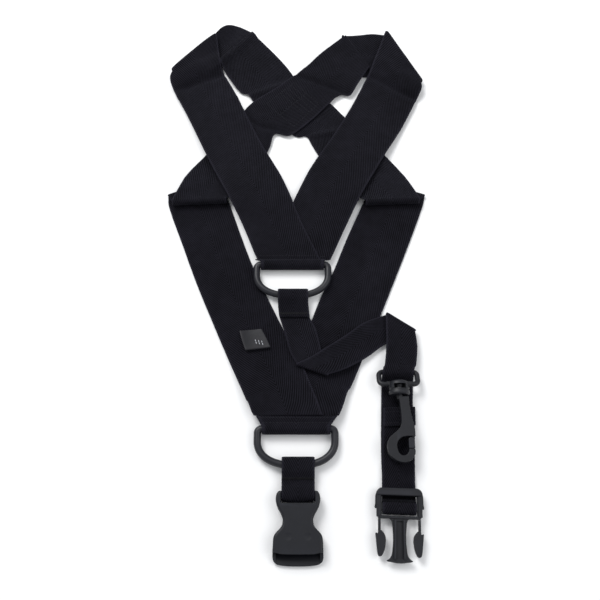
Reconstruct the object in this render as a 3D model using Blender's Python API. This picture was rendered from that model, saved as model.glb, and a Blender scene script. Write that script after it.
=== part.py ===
"""Saxophone shoulder harness lying flat on a table: two 50 mm webbing straps cross on the back and
meet at two D-rings, a 25 mm adjusting strap carries a swivel snap hook, and a side-release buckle
joins the adjusting strap to the lower D-ring. All sizes below are millimetres, the scene is metres.
X runs across the shoulders, Y from the lower buckles up to the shoulders, Z up from the table."""

import math

import bmesh
import bpy
from mathutils import Matrix, Vector

for thing in list(bpy.data.objects):
    bpy.data.objects.remove(thing, do_unlink=True)

MM = 0.001
GAP = 0.3                       # clearance between pieces that touch

# Webbing
WIDE, WIDE_T = 50.0, 1.6        # shoulder straps
NARROW, NARROW_T = 25.0, 1.4    # adjusting strap and tether
WIDE_LOW = 0.8                  # height of the middle of a shoulder strap lying on the table
WIDE_PITCH = 1.9                # height from one wide layer to the next
ROLL_TOP = 8.4                  # height of the strap where it rolls over under each arm

# D-rings: a straight bar and a curved bow, one size for both
RING_STOCK = 2.8                # radius of the round stock
RING_HALF = 29.9                # half the width, to the middle of the stock
RING_LEG = 9.0                  # straight part of each leg
RING_BOW = 19.2                 # depth of the curved part
RING_Z = 4.9
UPPER_BAR = (-3.0, -9.5)        # middle of the upper ring's straight bar
LOWER_BAR = (0.4, -149.0)
KEEPER_R = RING_STOCK + GAP + WIDE_T / 2
KEEPER_HALF = 26.5              # half the width of the keepers, which fill the rings
BOW_Y = RING_LEG + RING_BOW     # from the straight bar to the middle of the bow

# Hook
HOOK_X, HOOK_Z = 81.0, 9.9      # the hook's long axis
EYE_TOP_Y, EYE_LOW_Y = -103.4, -114.6
EYE_TOP_Z, EYE_LOW_Z = 4.5, 9.4
EYE_HALF, EYE_STOCK = 15.2, 2.0
COLLAR_WIDE = 1.19              # the collar's width to its height
HOOK_THICK = 7.0
GATE_PIVOT, GATE_R = (88.3, -159.2), 2.4

# Side-release buckle
BUCKLE_X, BUCKLE_Y = 77.3, -208.4   # middle of the bar the webbing turns round
BUCKLE_TURN = math.radians(-2.2)
FRAME_LOW, FRAME_TOP = 3.7, 6.1
SOCKET_X = 1.9
SOCKET_LOW, SOCKET_TOP = 0.3, 10.5
SOCKET_BAR_Y, SOCKET_BAR_Z = -199.4, 4.7
BOW_SAG = 0.8                   # from the middle of the bow to the axis the tether turns about
ORIGIN = (0.35, -0.3, 0.0)      # middle of the box on the table, taken off every piece


def collection(name, hidden=False):
    made = bpy.data.collections.new(name)
    bpy.context.scene.collection.children.link(made)
    made.hide_render = hidden
    return made


HARNESS = collection("saxophone_harness")
CUTTERS = collection("cutters", hidden=True)


def material(name, colour, roughness):
    made = bpy.data.materials.new(name)
    made.use_nodes = True
    shader = made.node_tree.nodes["Principled BSDF"]
    shader.inputs["Base Color"].default_value = (*colour, 1.0)
    shader.inputs["Roughness"].default_value = roughness
    return made


WEBBING = material("black_webbing", (0.018, 0.018, 0.022), 0.82)
NARROW_WEBBING = material("narrow_webbing", (0.022, 0.022, 0.027), 0.78)
THREAD = material("black_thread", (0.012, 0.012, 0.014), 0.6)
PLASTIC = material("black_plastic", (0.015, 0.016, 0.02), 0.42)
RING_PLASTIC = material("ring_plastic", (0.013, 0.014, 0.018), 0.36)
SATIN = material("satin_label", (0.03, 0.03, 0.035), 0.5)


def keep(name, data, surface, pivot=None, smooth=True):
    """One named piece, with its origin on its joint's axis when it moves."""
    piece = bpy.data.objects.new(name, data)
    HARNESS.objects.link(piece)
    data.materials.append(surface)
    if pivot is not None:
        spot = Vector(pivot) * MM
        data.transform(Matrix.Translation(-spot))
        piece.location = spot
    if isinstance(data, bpy.types.Mesh) and smooth:
        data.polygons.foreach_set("use_smooth", [True] * len(data.polygons))
        data.set_sharp_from_angle(angle=math.radians(35))
    return piece


def pair(ox, oy, ix, iy, z, z_in=None):
    """One row across a strap: its outer and inner edge points."""
    return Vector((ox, oy, z)), Vector((ix, iy, z if z_in is None else z_in))


def run(rows, steps=4):
    """Rows made closer together along a smooth curve through the given rows."""
    made = []
    last = len(rows) - 1
    for k in range(last):
        near = [rows[max(k - 1, 0)], rows[k], rows[k + 1], rows[min(k + 2, last)]]
        for step in range(steps):
            t = step / steps
            weights = (
                -0.5 * t + t * t - 0.5 * t ** 3,
                1 - 2.5 * t * t + 1.5 * t ** 3,
                0.5 * t + 2 * t * t - 1.5 * t ** 3,
                -0.5 * t * t + 0.5 * t ** 3,
            )
            row = tuple(sum((r[side] * w for r, w in zip(near, weights)), Vector())
                        for side in (0, 1))
            for edge, one, two in zip(row, rows[k], rows[k + 1]):
                edge.z = min(max(edge.z, min(one.z, two.z)), max(one.z, two.z))
            made.append(row)
    made.append(rows[last])
    return made


def fold(row, z, out_x, out_y, steps=8):
    """The half turn that takes a strap from its present height to z, bulging to one side."""
    out = Vector((out_x, out_y, 0)).normalized()
    made = []
    for k in range(1, steps + 1):
        angle = math.pi * k / steps
        made.append(tuple(
            edge + out * (abs(z - edge.z) / 2 * math.sin(angle))
            + Vector((0, 0, (z - edge.z) / 2 * (1 - math.cos(angle))))
            for edge in row
        ))
    return made


def ribbon(name, rows, thick, surface, pivot=None):
    """A strap of even thickness through the rows, with square ends."""
    mesh = bmesh.new()
    rings = []
    for k, (outer, inner) in enumerate(rows):
        before, after = rows[max(k - 1, 0)], rows[min(k + 1, len(rows) - 1)]
        along = (after[0] + after[1]) - (before[0] + before[1])
        up = along.cross(inner - outer).normalized() * (thick / 2)
        corners = (outer + up, inner + up, inner - up, outer - up)
        rings.append([mesh.verts.new(corner * MM) for corner in corners])
    for one, two in zip(rings, rings[1:]):
        for k in range(4):
            n = (k + 1) % 4
            mesh.faces.new((one[k], one[n], two[n], two[k]))
    mesh.faces.new(rings[0])
    mesh.faces.new(rings[-1])
    bmesh.ops.recalc_face_normals(mesh, faces=mesh.faces)
    data = bpy.data.meshes.new(name)
    mesh.to_mesh(data)
    mesh.free()
    return keep(name, data, surface, pivot)


def tube(name, points, radius, surface, pivot=None, closed=True, around=3):
    """Round stock along a line of points."""
    curve = bpy.data.curves.new(name, "CURVE")
    curve.dimensions = "3D"
    curve.bevel_depth = radius * MM
    curve.bevel_resolution = around
    curve.fill_mode = "FULL"
    curve.use_fill_caps = True
    line = curve.splines.new("POLY")
    line.points.add(len(points) - 1)
    for spot, point in zip(line.points, points):
        spot.co = (*(Vector(point) * MM), 1)
    line.use_cyclic_u = closed
    line.use_smooth = True
    return keep(name, curve, surface, pivot)


def plate(name, outline, low, top, group=None, bevel=0.0, turn=None):
    """A flat outline given a thickness, with rounded edges when bevel is set."""
    mesh = bmesh.new()
    floor = [mesh.verts.new(Vector((x, y, low)) * MM) for x, y in outline]
    face = mesh.faces.new(floor)
    lifted = bmesh.ops.extrude_face_region(mesh, geom=[face])["geom"]
    lifted = [v for v in lifted if isinstance(v, bmesh.types.BMVert)]
    bmesh.ops.translate(mesh, verts=lifted, vec=(0, 0, (top - low) * MM))
    if bevel:
        edges = [e for e in mesh.edges if abs(e.verts[0].co.z - e.verts[1].co.z) < 1e-7]
        bmesh.ops.bevel(mesh, geom=edges, offset=bevel * MM, segments=2, affect="EDGES",
                        profile=0.5, clamp_overlap=True)
    bmesh.ops.recalc_face_normals(mesh, faces=mesh.faces)
    data = bpy.data.meshes.new(name)
    mesh.to_mesh(data)
    mesh.free()
    if turn is not None:
        data.transform(turn)
    if group is None:
        return data
    piece = bpy.data.objects.new(name, data)
    group.objects.link(piece)
    piece.display_type = "WIRE"
    piece.hide_render = True
    return piece


def block(x0, x1, y0, y1):
    return [(x0, y0), (x1, y0), (x1, y1), (x0, y1)]


def round_block(x0, x1, y0, y1, r, steps=4):
    """A rectangle with rounded corners, anticlockwise."""
    made = []
    for cx, cy, start in ((x1 - r, y1 - r, 0), (x0 + r, y1 - r, 90), (x0 + r, y0 + r, 180),
                          (x1 - r, y0 + r, 270)):
        for k in range(steps + 1):
            a = math.radians(start + 90 * k / steps)
            made.append((cx + r * math.cos(a), cy + r * math.sin(a)))
    return made


def boolean(piece, other, how="DIFFERENCE"):
    """The cut or the join, applied by a modifier; the helper stays out of the render."""
    made = piece.modifiers.new(other.name, "BOOLEAN")
    made.object = other
    made.operation = how
    made.solver = "EXACT"


# --- Shoulder straps: one continuous strap for each shoulder -------------------------------------
# A pair is (outer edge, inner edge, height); outer and inner are as worn on the front run.

# The straps end behind each ring's bar: their cut ends, then the rows where they level out.
cut, slope, level, past = (UPPER_BAR[1] + step for step in (4.1, 8.0, 15.0, 36.5))
low_cut, low_slope, low_level, low_past = (LOWER_BAR[1] + step for step in (9.9, 14.0, 20.0, 36.5))

left_front = run([
    pair(-32.6, cut, 20.4, cut, 7.0),
    pair(-34.4, slope, 18.6, slope, 7.2),
    pair(-37.2, level, 15.4, level, 7.2),
    pair(-45.8, past, 5.7, past, 7.4),
    pair(-57.5, 51.0, -11.2, 70.4, 10.2, 8.2),
    pair(-76.6, 89.6, -31.4, 110.4, 7.0, 5.0),
    pair(-98.8, 138.5, -54.0, 160.2, 3.6, 3.9),
    pair(-113.2, 167.0, -68.8, 190.5, 3.8),
    pair(-118.0, 181.0, -73.0, 209.0, 5.4),
    pair(-115.4, 190.5, -76.3, 232.8, 6.6),
])
left_back = run([
    pair(-115.4, 190.5, -76.3, 232.8, WIDE_LOW),
    pair(-104.0, 201.0, -75.0, 243.0, WIDE_LOW),
    pair(-90.0, 203.0, -67.0, 248.8, WIDE_LOW),
    pair(-74.0, 199.0, -56.5, 246.8, WIDE_LOW),
    pair(-58.3, 191.5, -43.0, 237.8, WIDE_LOW),
], 3)
left_pleat = run([
    pair(-58.3, 191.5, -43.0, 237.8, 2.7),
    pair(-72.5, 201.0, -41.6, 235.0, 2.7),
], 2)
left_rear = run([
    pair(-72.5, 201.0, -41.6, 235.0, 4.6),
    pair(-62.0, 181.8, -22.3, 213.4, 3.0),
    pair(-52.2, 168.6, -10.5, 199.0, 1.9),
    pair(-45.0, 165.3, -5.0, 191.0, 1.2),
    pair(-38.2, 156.5, -0.5, 185.0, 0.9),
    pair(-19.5, 137.0, 14.5, 172.0, WIDE_LOW),
    pair(-1.0, 120.6, 31.0, 157.2, WIDE_LOW),
    pair(9.2, 120.2, 43.0, 143.2, WIDE_LOW),
    pair(15.0, 109.5, 53.5, 131.0, WIDE_LOW),
    pair(25.5, 90.0, 64.5, 117.0, 1.0),
    pair(39.0, 68.0, 80.4, 97.4, 3.8),
    pair(50.0, 57.0, 97.0, 73.0, 5.6, 6.6),
    pair(60.5, 50.5, 107.6, 52.5, ROLL_TOP),
])
left_under = run([pair(60.5, 50.5, 107.6, 52.5, 2.7), pair(66.5, 73.0, 113.0, 58.0, 2.7)], 3)
left_low = run([
    pair(66.5, 73.0, 113.0, 58.0, WIDE_LOW),
    pair(58.7, 51.3, 109.6, 45.3, WIDE_LOW),
    pair(44.0, 17.5, 94.5, 6.0, WIDE_LOW),
    pair(31.3, -15.0, 78.0, -34.5, WIDE_LOW),
    pair(20.5, -38.5, 67.6, -59.5, WIDE_LOW),
    pair(11.0, -63.0, 57.2, -84.0, WIDE_LOW),
    pair(-1.5, -92.0, 44.9, -113.0, 0.9, 3.0),
    pair(-9.5, low_past, 41.0, -119.5, 3.2, 4.6),
    pair(-17.0, low_level, 37.8, low_level, 5.0, 5.5),
    pair(-19.6, low_slope, 35.6, low_slope, 5.2, 6.4),
    pair(-21.4, low_cut, 33.6, low_cut, 5.2, 7.0),
])
left_strap = (
    left_front + fold(left_front[-1], WIDE_LOW, -0.7, 0.71) + left_back[1:]
    + fold(left_back[-1], 2.7, 0.94, -0.34) + left_pleat[1:]
    + fold(left_pleat[-1], 4.6, -0.74, 0.67) + left_rear[1:]
    + fold(left_rear[-1], 2.7, 0.0, -1.0, 10) + left_under[1:]
    + fold(left_under[-1], WIDE_LOW, 0.3, 0.95) + left_low[1:]
)
ribbon("left_shoulder_strap", left_strap, WIDE_T, WEBBING)

right_front = run([
    pair(29.0, cut, -24.8, cut, 5.0),
    pair(30.8, slope, -23.0, slope, 5.2),
    pair(33.8, level, -20.3, level, 5.2),
    pair(43.1, past, -12.0, past, 5.3),
    pair(57.6, 57.0, 10.6, 80.2, 9.8, 5.2),
    pair(79.4, 98.0, 34.0, 120.5, 6.8, 4.0),
    pair(95.9, 127.2, 50.5, 150.5, 3.6, 3.2),
    pair(110.4, 157.0, 65.5, 182.5, 3.8),
    pair(116.4, 170.0, 74.0, 204.0, 5.4),
    pair(115.4, 178.4, 85.4, 236.0, 6.6),
])
right_back = run([
    pair(115.4, 178.4, 85.4, 236.0, WIDE_LOW),
    pair(98.0, 188.0, 73.0, 237.4, WIDE_LOW),
    pair(74.0, 187.0, 59.0, 235.9, WIDE_LOW),
    pair(51.5, 186.0, 45.0, 235.0, WIDE_LOW),
], 3)
right_pleat = run([
    pair(51.5, 186.0, 45.0, 235.0, 2.7),
    pair(68.0, 194.5, 46.5, 232.6, 2.7),
], 2)
right_rear = run([
    pair(68.0, 194.5, 46.5, 232.6, 4.6),
    pair(58.6, 178.5, 24.0, 212.6, 4.2),
    pair(50.4, 164.4, 12.5, 200.0, 3.8),
    pair(43.0, 164.9, 6.0, 194.0, 3.4),
    pair(36.2, 161.2, 0.5, 188.5, 3.1),
    pair(31.5, 156.0, -4.5, 185.0, 3.0),
    pair(15.0, 138.0, -20.0, 172.0, 2.9),
    pair(-5.0, 120.6, -39.8, 157.0, 2.8),
    pair(-19.4, 122.0, -50.5, 144.8, 2.4, 1.9),
    pair(-24.5, 106.5, -63.0, 127.0, 1.8, 1.5),
    pair(-37.0, 79.0, -81.8, 99.5, 1.4),
    pair(-48.5, 61.0, -97.2, 75.6, 5.4, 6.6),
    pair(-60.5, 52.5, -107.8, 50.5, ROLL_TOP),
])
right_under = run([pair(-60.5, 52.5, -107.8, 50.5, 2.7), pair(-66.5, 75.0, -112.5, 58.0, 2.7)], 3)
right_low = run([
    pair(-66.5, 75.0, -112.5, 58.0, WIDE_LOW),
    pair(-58.5, 51.3, -110.4, 45.3, WIDE_LOW),
    pair(-48.0, 21.0, -97.0, 10.0, WIDE_LOW),
    pair(-36.9, -8.5, -83.5, -25.0, WIDE_LOW),
    pair(-22.5, -40.5, -68.5, -60.0, 0.9),
    pair(-8.0, -71.0, -53.5, -94.0, 2.2, 1.6),
    pair(5.5, -97.4, -40.5, -122.5, 3.8, 5.8),
    pair(11.5, low_past, -39.0, -126.0, 5.7, 6.4),
    pair(17.6, low_level, -37.0, low_level, 7.3, 7.1),
    pair(19.6, low_slope, -34.7, low_slope, 8.1, 7.3),
    pair(20.9, low_cut, -32.6, low_cut, 8.8, 7.4),
])
right_strap = (
    right_front + fold(right_front[-1], WIDE_LOW, 0.88, 0.47) + right_back[1:]
    + fold(right_back[-1], 2.7, -0.99, -0.14) + right_pleat[1:]
    + fold(right_pleat[-1], 4.6, 0.86, 0.51) + right_rear[1:]
    + fold(right_rear[-1], 2.7, 0.0, -1.0, 10) + right_under[1:]
    + fold(right_under[-1], WIDE_LOW, -0.3, 0.95) + right_low[1:]
)
ribbon("right_shoulder_strap", right_strap, WIDE_T, WEBBING)


# --- D-rings and the webbing keepers round their straight bars ------------------------------------

def ring_line(bar_x, bar_y, corner=3.4, steps=14):
    """The middle line of a D-ring, anticlockwise from the right end of its straight bar."""
    made = []
    for side in (1, -1):
        turn = []
        for k in range(5):
            a = math.radians(90 * k / 4)
            turn.append((side * (RING_HALF - corner + corner * math.cos(a)),
                         -corner + corner * math.sin(a)))
        made += turn if side == 1 else turn[::-1]
    for k in range(2 * steps + 1):
        a = math.pi * (1 + k / (2 * steps))
        c, s = math.cos(a), math.sin(a)
        reach = math.copysign(abs(c) ** 0.87, c)
        drop = abs(s) ** 0.87
        made.append((RING_HALF * reach, -RING_LEG - RING_BOW * drop))
    return [(bar_x + x, bar_y + y, RING_Z) for x, y in made]


# Each flap row is (distance from the bar, reach to the right, reach to the left, height).
UPPER_FLAP = ((1.6, 26.6, 26.6, 8.65), (2.8, 27.9, 28.6, 8.1), (3.5, 28.9, 31.2, 7.35))
LOWER_FLAP = ((1.6, 26.6, 26.6, 8.65), (3.2, 27.6, 27.8, 8.0), (4.2, 28.4, 28.2, 7.75),
              (5.4, 29.2, 28.8, 8.05), (7.5, 30.6, 30.2, 8.1), (9.4, 32.0, 31.2, 7.75))


def keeper_rows(bar_x, bar_y, flap):
    """Webbing from a lower tail, round the straight bar and back over the strap ends."""
    path = [(21.0, KEEPER_HALF, KEEPER_HALF, WIDE_LOW), (12.0, KEEPER_HALF, KEEPER_HALF, WIDE_LOW)]
    for k in range(9):
        a = math.radians(-90 - 180 * k / 8)
        path.append((KEEPER_R * math.cos(a), KEEPER_HALF, KEEPER_HALF,
                     RING_Z + KEEPER_R * math.sin(a)))
    return [pair(bar_x - left, bar_y + y, bar_x + right, bar_y + y, z)
            for y, right, left, z in (*path, *flap)]


for place, (bar_x, bar_y), flap in (("upper", UPPER_BAR, UPPER_FLAP),
                                    ("lower", LOWER_BAR, LOWER_FLAP)):
    tube(place + "_d_ring", ring_line(bar_x, bar_y), RING_STOCK, RING_PLASTIC,
         pivot=(bar_x, bar_y, RING_Z), around=4)
    ribbon(place + "_ring_keeper", keeper_rows(bar_x, bar_y, flap), WIDE_T, WEBBING)

# --- Adjusting strap ------------------------------------------------------------------------------
# Loop round the bow of the upper ring, two flat folds, over and under the hook's eye, down to the
# buckle. The first part moves with the ring, so it is a piece of its own that ends at the seam.

bow_y = UPPER_BAR[1] - BOW_Y
LOOP_R = RING_STOCK + 2 * GAP + NARROW_T / 2   # roomy, because the bow is curved
loop_x = -2.4


def narrow(x, y, z):
    return pair(x - NARROW / 2, y, x + NARROW / 2, y, z)


ring_loop = [narrow(loop_x + 1.0, -56.0, 4.6), narrow(loop_x + 0.6, -51.5, 4.7),
             narrow(loop_x + 0.2, -46.5, 6.3), narrow(loop_x, bow_y - 3.0, RING_Z + LOOP_R - 0.2)]
for k in range(9):
    a = math.radians(90 - 180 * k / 8)
    ring_loop.append(narrow(loop_x, bow_y + 1.2 + LOOP_R * math.cos(a), RING_Z + LOOP_R * math.sin(a)))
ring_loop += [narrow(loop_x, bow_y - 3.0, RING_Z - LOOP_R), narrow(loop_x + 0.2, -46.5, 1.5),
              narrow(loop_x + 0.6, -50.5, 2.7)]
ribbon("adjuster_ring_loop", ring_loop, NARROW_T, NARROW_WEBBING,
       pivot=(loop_x, bow_y, RING_Z))

adjuster = run([
    pair(-14.2, -52.3, 10.8, -52.3, 2.8),
    pair(-13.0, -57.5, 12.2, -58.5, 3.0),
    pair(-9.0, -70.5, 16.6, -67.5, 4.3),
    pair(-5.0, -86.0, 20.2, -83.5, 5.0),
    pair(0.5, -97.0, 26.0, -106.0, 5.6),
], 3)
across = run([
    pair(0.5, -97.0, 26.0, -106.0, 7.4),
    pair(12.0, -91.4, 37.0, -102.6, 7.2),
    pair(27.0, -81.2, 47.6, -97.0, 5.6),
    pair(41.6, -71.0, 58.4, -90.0, 3.4),
    pair(56.0, -60.6, 73.0, -79.4, 2.7),
    pair(73.6, -54.2, 96.8, -69.6, 2.7),
], 3)
hook_run = [
    pair(96.8, -69.6, 73.6, -54.2, 6.3),
    pair(97.8, -83.0, 72.9, -80.0, 6.6),
    pair(96.0, -97.5, 71.0, -97.0, 7.3),
    pair(94.6, -100.4, 69.6, -100.4, 7.9),
    pair(93.7, -104.4, 68.7, -104.4, 7.7),
    pair(93.5, -106.8, 68.5, -106.8, 6.0),
    pair(93.5, -108.6, 68.5, -108.6, 3.6),
    pair(93.4, -110.4, 68.4, -110.4, 1.6),
    pair(93.2, -113.6, 68.2, -113.6, 0.95),
]
hook_run = run([(b, a) for a, b in hook_run], 3)


def at_buckle(x, y):
    """A point of the buckle, given from the middle of its webbing bar, in the harness's frame."""
    c, s = math.cos(BUCKLE_TURN), math.sin(BUCKLE_TURN)
    return BUCKLE_X + x * c - y * s, BUCKLE_Y + x * s + y * c


def buckle_row(y, z):
    """A row of webbing across the buckle, at y along the buckle."""
    return pair(*at_buckle(-NARROW / 2, y), *at_buckle(NARROW / 2, y), z)


long_run = run([hook_run[-1], pair(67.2, -132.0, 92.2, -132.0, 0.9),
                pair(65.8, -165.0, 90.8, -165.6, 0.9), buckle_row(26.0, 0.9)], 4)
adjuster_rows = (
    adjuster + fold(adjuster[-1], 7.4, -0.33, -0.94) + across[1:]
    + fold(across[-1], 6.3, 0.55, 0.83) + hook_run[1:] + long_run[1:]
)
ribbon("adjusting_strap", adjuster_rows, NARROW_T, NARROW_WEBBING)

# The part that moves with the buckle: under the frame, round its bar and back up as the tail.
BAR_R = 3.2
buckle_loop = [buckle_row(25.4, 0.9), buckle_row(4.0, 0.9), buckle_row(-1.4, 0.9)]
for k in range(1, 8):
    a = math.radians(-90 - 180 * k / 8)
    buckle_loop.append(buckle_row(-1.4 + BAR_R * math.cos(a), 0.9 + BAR_R + BAR_R * math.sin(a)))
buckle_loop += [buckle_row(y, z) for y, z in (
    (-1.4, 7.3), (1.8, 7.3), (3.4, 6.9), (4.4, 5.9), (5.0, 4.6), (5.8, 3.4), (7.2, 2.7), (10.0, 2.6),
    (14.0, 2.6))]
tail = run([buckle_row(14.0, 2.6), pair(66.6, -165.6, 91.6, -165.0, 2.6),
            pair(68.6, -133.4, 93.6, -132.4, 2.6)], 3)
hem = run([pair(68.6, -133.4, 93.6, -132.4, 4.2), pair(68.2, -147.0, 93.2, -146.0, 4.2)], 2)
ribbon("buckle_strap_tail", buckle_loop + tail[1:] + fold(tail[-1], 4.2, 0.0, 1.0) + hem[1:],
       NARROW_T, NARROW_WEBBING, pivot=(BUCKLE_X, BUCKLE_Y, 4.0))

# --- Tether from the lower ring to the buckle's socket ---------------------------------------------
low_bow = LOWER_BAR[1] - BOW_Y
TETHER_X = 2.0


def tether_row(y, z):
    return narrow(TETHER_X, y, z)


tether = [tether_row(-186.8, 1.1), tether_row(-182.0, RING_Z - LOOP_R)]
for k in range(9):
    a = math.radians(-90 + 180 * k / 8)
    tether.append(tether_row(low_bow + 2.0 + LOOP_R * math.cos(a), RING_Z + LOOP_R * math.sin(a)))
tether += [tether_row(-182.0, RING_Z + LOOP_R - 0.6), tether_row(-185.6, 6.4), tether_row(-188.4, 5.2),
           tether_row(-191.0, 5.6), tether_row(-194.6, 7.7), tether_row(-197.6, 8.4)]
SOCKET_LOOP_R = 3.7
for k in range(9):
    a = math.radians(90 + 180 * k / 8)
    tether.append(tether_row(SOCKET_BAR_Y + SOCKET_LOOP_R * math.cos(a),
                             SOCKET_BAR_Z + SOCKET_LOOP_R * math.sin(a)))
tether += [tether_row(-195.0, 1.0), tether_row(-188.0, 1.0)]
ribbon("buckle_tether", tether, NARROW_T, NARROW_WEBBING, pivot=(TETHER_X, low_bow + BOW_SAG, RING_Z))

# --- Buckle socket --------------------------------------------------------------------------------
half_outline = [(14.6, -196.3), (16.2, -199.0), (16.6, -203.1), (16.1, -206.0), (13.6, -211.3),
                (12.1, -214.2), (11.2, -217.4), (11.8, -221.2), (15.7, -225.9), (17.7, -228.6),
                (18.3, -233.0), (18.7, -243.0), (17.8, -246.4), (15.2, -248.4), (11.0, -249.2),
                (4.0, -249.6)]
outline = [(SOCKET_X + x, y) for x, y in half_outline]
outline += [(SOCKET_X - x, y) for x, y in reversed(half_outline)]
socket = keep("buckle_socket", plate("buckle_socket", outline, SOCKET_LOW, SOCKET_TOP, bevel=2.0),
              PLASTIC, pivot=(SOCKET_X, SOCKET_BAR_Y, SOCKET_BAR_Z))
cuts = [
    plate("webbing_slot", block(SOCKET_X - 13.0, SOCKET_X + 13.0, -205.5, -201.2), -1, 12, CUTTERS),
    plate("bar_top_relief", block(SOCKET_X - 13.0, SOCKET_X + 13.0, -204, -190), 6.3, 12, CUTTERS),
    plate("bar_low_relief", block(SOCKET_X - 13.0, SOCKET_X + 13.0, -204, -190), -1, 3.1, CUTTERS),
    plate("mouth", block(SOCKET_X - 16.2, SOCKET_X + 16.2, -256, -225.5), 2.4, 8.2, CUTTERS),
    plate("throat", block(SOCKET_X - 9.6, SOCKET_X + 9.6, -230, -212.5), 2.4, 8.2, CUTTERS),
    plate("side_windows", block(SOCKET_X - 22, SOCKET_X + 22, -226.5, -213.5), 2.41, 8.19, CUTTERS),
    plate("lower_lip", block(SOCKET_X - 24, SOCKET_X + 24, -262, -241.6), 3.4, 13, CUTTERS),
]
for cut_piece in cuts:
    boolean(socket, cut_piece)
for side, x in (("left", -7.2), ("right", 7.2)):
    ball = bmesh.new()
    bmesh.ops.create_uvsphere(ball, u_segments=24, v_segments=12, radius=8 * MM)
    bmesh.ops.translate(ball, verts=ball.verts,
                        vec=Vector((SOCKET_X + x, -229.4, SOCKET_TOP + 7.5)) * MM)
    data = bpy.data.meshes.new(side + "_dimple")
    ball.to_mesh(data)
    ball.free()
    dimple = bpy.data.objects.new(side + "_dimple", data)
    CUTTERS.objects.link(dimple)
    dimple.display_type = "WIRE"
    dimple.hide_render = True
    boolean(socket, dimple)

# --- Buckle frame with its prongs -----------------------------------------------------------------
TO_BUCKLE = (Matrix.Translation(Vector((BUCKLE_X, BUCKLE_Y, 0)) * MM)
             @ Matrix.Rotation(BUCKLE_TURN, 4, "Z"))
frame_half = [
    (14.6, 14.2), (16.9, 11.8), (17.6, 9.4), (18.0, 2.6), (18.4, 0.4), (18.1, -0.8), (16.6, -1.0),
    (16.2, -3.3), (15.9, -8.1), (8.0, -8.1), (5.9, -9.6), (5.2, -13.6), (4.8, -19.0), (4.8, -24.0),
    (5.2, -29.3), (5.7, -33.1), (6.9, -35.5), (9.6, -37.5), (8.4, -38.3), (2.2, -39.2),
]
frame_outline = frame_half + [(-x, y) for x, y in reversed(frame_half)]
frame = keep("buckle_frame",
             plate("buckle_frame", frame_outline[::-1], FRAME_LOW, FRAME_TOP, bevel=0.7,
                   turn=TO_BUCKLE),
             PLASTIC, pivot=(BUCKLE_X, BUCKLE_Y, 4.0))
for name, y0, y1 in (("upper_slot", 3.0, 8.5), ("lower_slot", -6.0, -2.5)):
    slot = plate(name, round_block(-13.2, 13.2, y0, y1, 0.8, 2), 0, 9, CUTTERS)
    slot.data.transform(TO_BUCKLE)
    boolean(frame, slot)
rib = plate("guide_rib", [(-2.4, -10), (2.4, -10), (1.8, -20), (2.8, -36), (-2.8, -36), (-1.8, -20)],
            4.4, 7.2, CUTTERS, bevel=0.5)
rib.data.transform(TO_BUCKLE)
boolean(frame, rib, "UNION")

PRONG_ROOT = (14.9, -7.9)
prong_outline = [
    (15.8, -8.4), (15.8, -18.6), (17.5, -18.6), (17.3, -23.0), (16.9, -27.0), (16.4, -31.4),
    (15.7, -34.2), (14.4, -35.0), (13.0, -34.3), (11.8, -32.0), (10.9, -29.3), (10.4, -25.8),
    (10.2, -22.7), (10.8, -20.0), (12.2, -17.9), (13.9, -16.6), (13.9, -8.4),
]
for side, sign in (("left", -1), ("right", 1)):
    points = [(sign * x, y) for x, y in prong_outline]
    root = at_buckle(sign * PRONG_ROOT[0], PRONG_ROOT[1])
    keep(side + "_prong",
         plate(side + "_prong", points, FRAME_LOW - 0.6, FRAME_TOP + 0.6, bevel=0.6, turn=TO_BUCKLE),
         PLASTIC, pivot=(*root, 4.8))

# --- Hook -----------------------------------------------------------------------------------------
eye_line = []
for cx, cy, cz, start in ((EYE_HALF - 3.4, EYE_TOP_Y - 3.4, EYE_TOP_Z, 0),
                          (-EYE_HALF + 3.4, EYE_TOP_Y - 3.4, EYE_TOP_Z, 90),
                          (-EYE_HALF + 3.4, EYE_LOW_Y + 3.4, EYE_LOW_Z, 180),
                          (EYE_HALF - 3.4, EYE_LOW_Y + 3.4, EYE_LOW_Z, 270)):
    for k in range(6):
        a = math.radians(start + 90 * k / 5)
        y = cy + 3.4 * math.sin(a)
        share = (EYE_TOP_Y - y) / (EYE_TOP_Y - EYE_LOW_Y)
        eye_line.append((HOOK_X + cx + 3.4 * math.cos(a), y,
                         EYE_TOP_Z + (EYE_LOW_Z - EYE_TOP_Z) * share))
eye = tube("hook_eye", eye_line, EYE_STOCK, PLASTIC, pivot=(HOOK_X, EYE_TOP_Y, EYE_TOP_Z), around=3)
bpy.context.view_layer.update()
eye_data = bpy.data.meshes.new_from_object(eye.evaluated_get(bpy.context.evaluated_depsgraph_get()))
eye_spot = eye.location.copy()
bpy.data.objects.remove(eye, do_unlink=True)
eye_data.transform(Matrix.Translation(eye_spot))
eye_data.materials.clear()
eye = keep("hook_eye", eye_data, PLASTIC, pivot=(HOOK_X, EYE_TOP_Y, EYE_TOP_Z))


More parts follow.
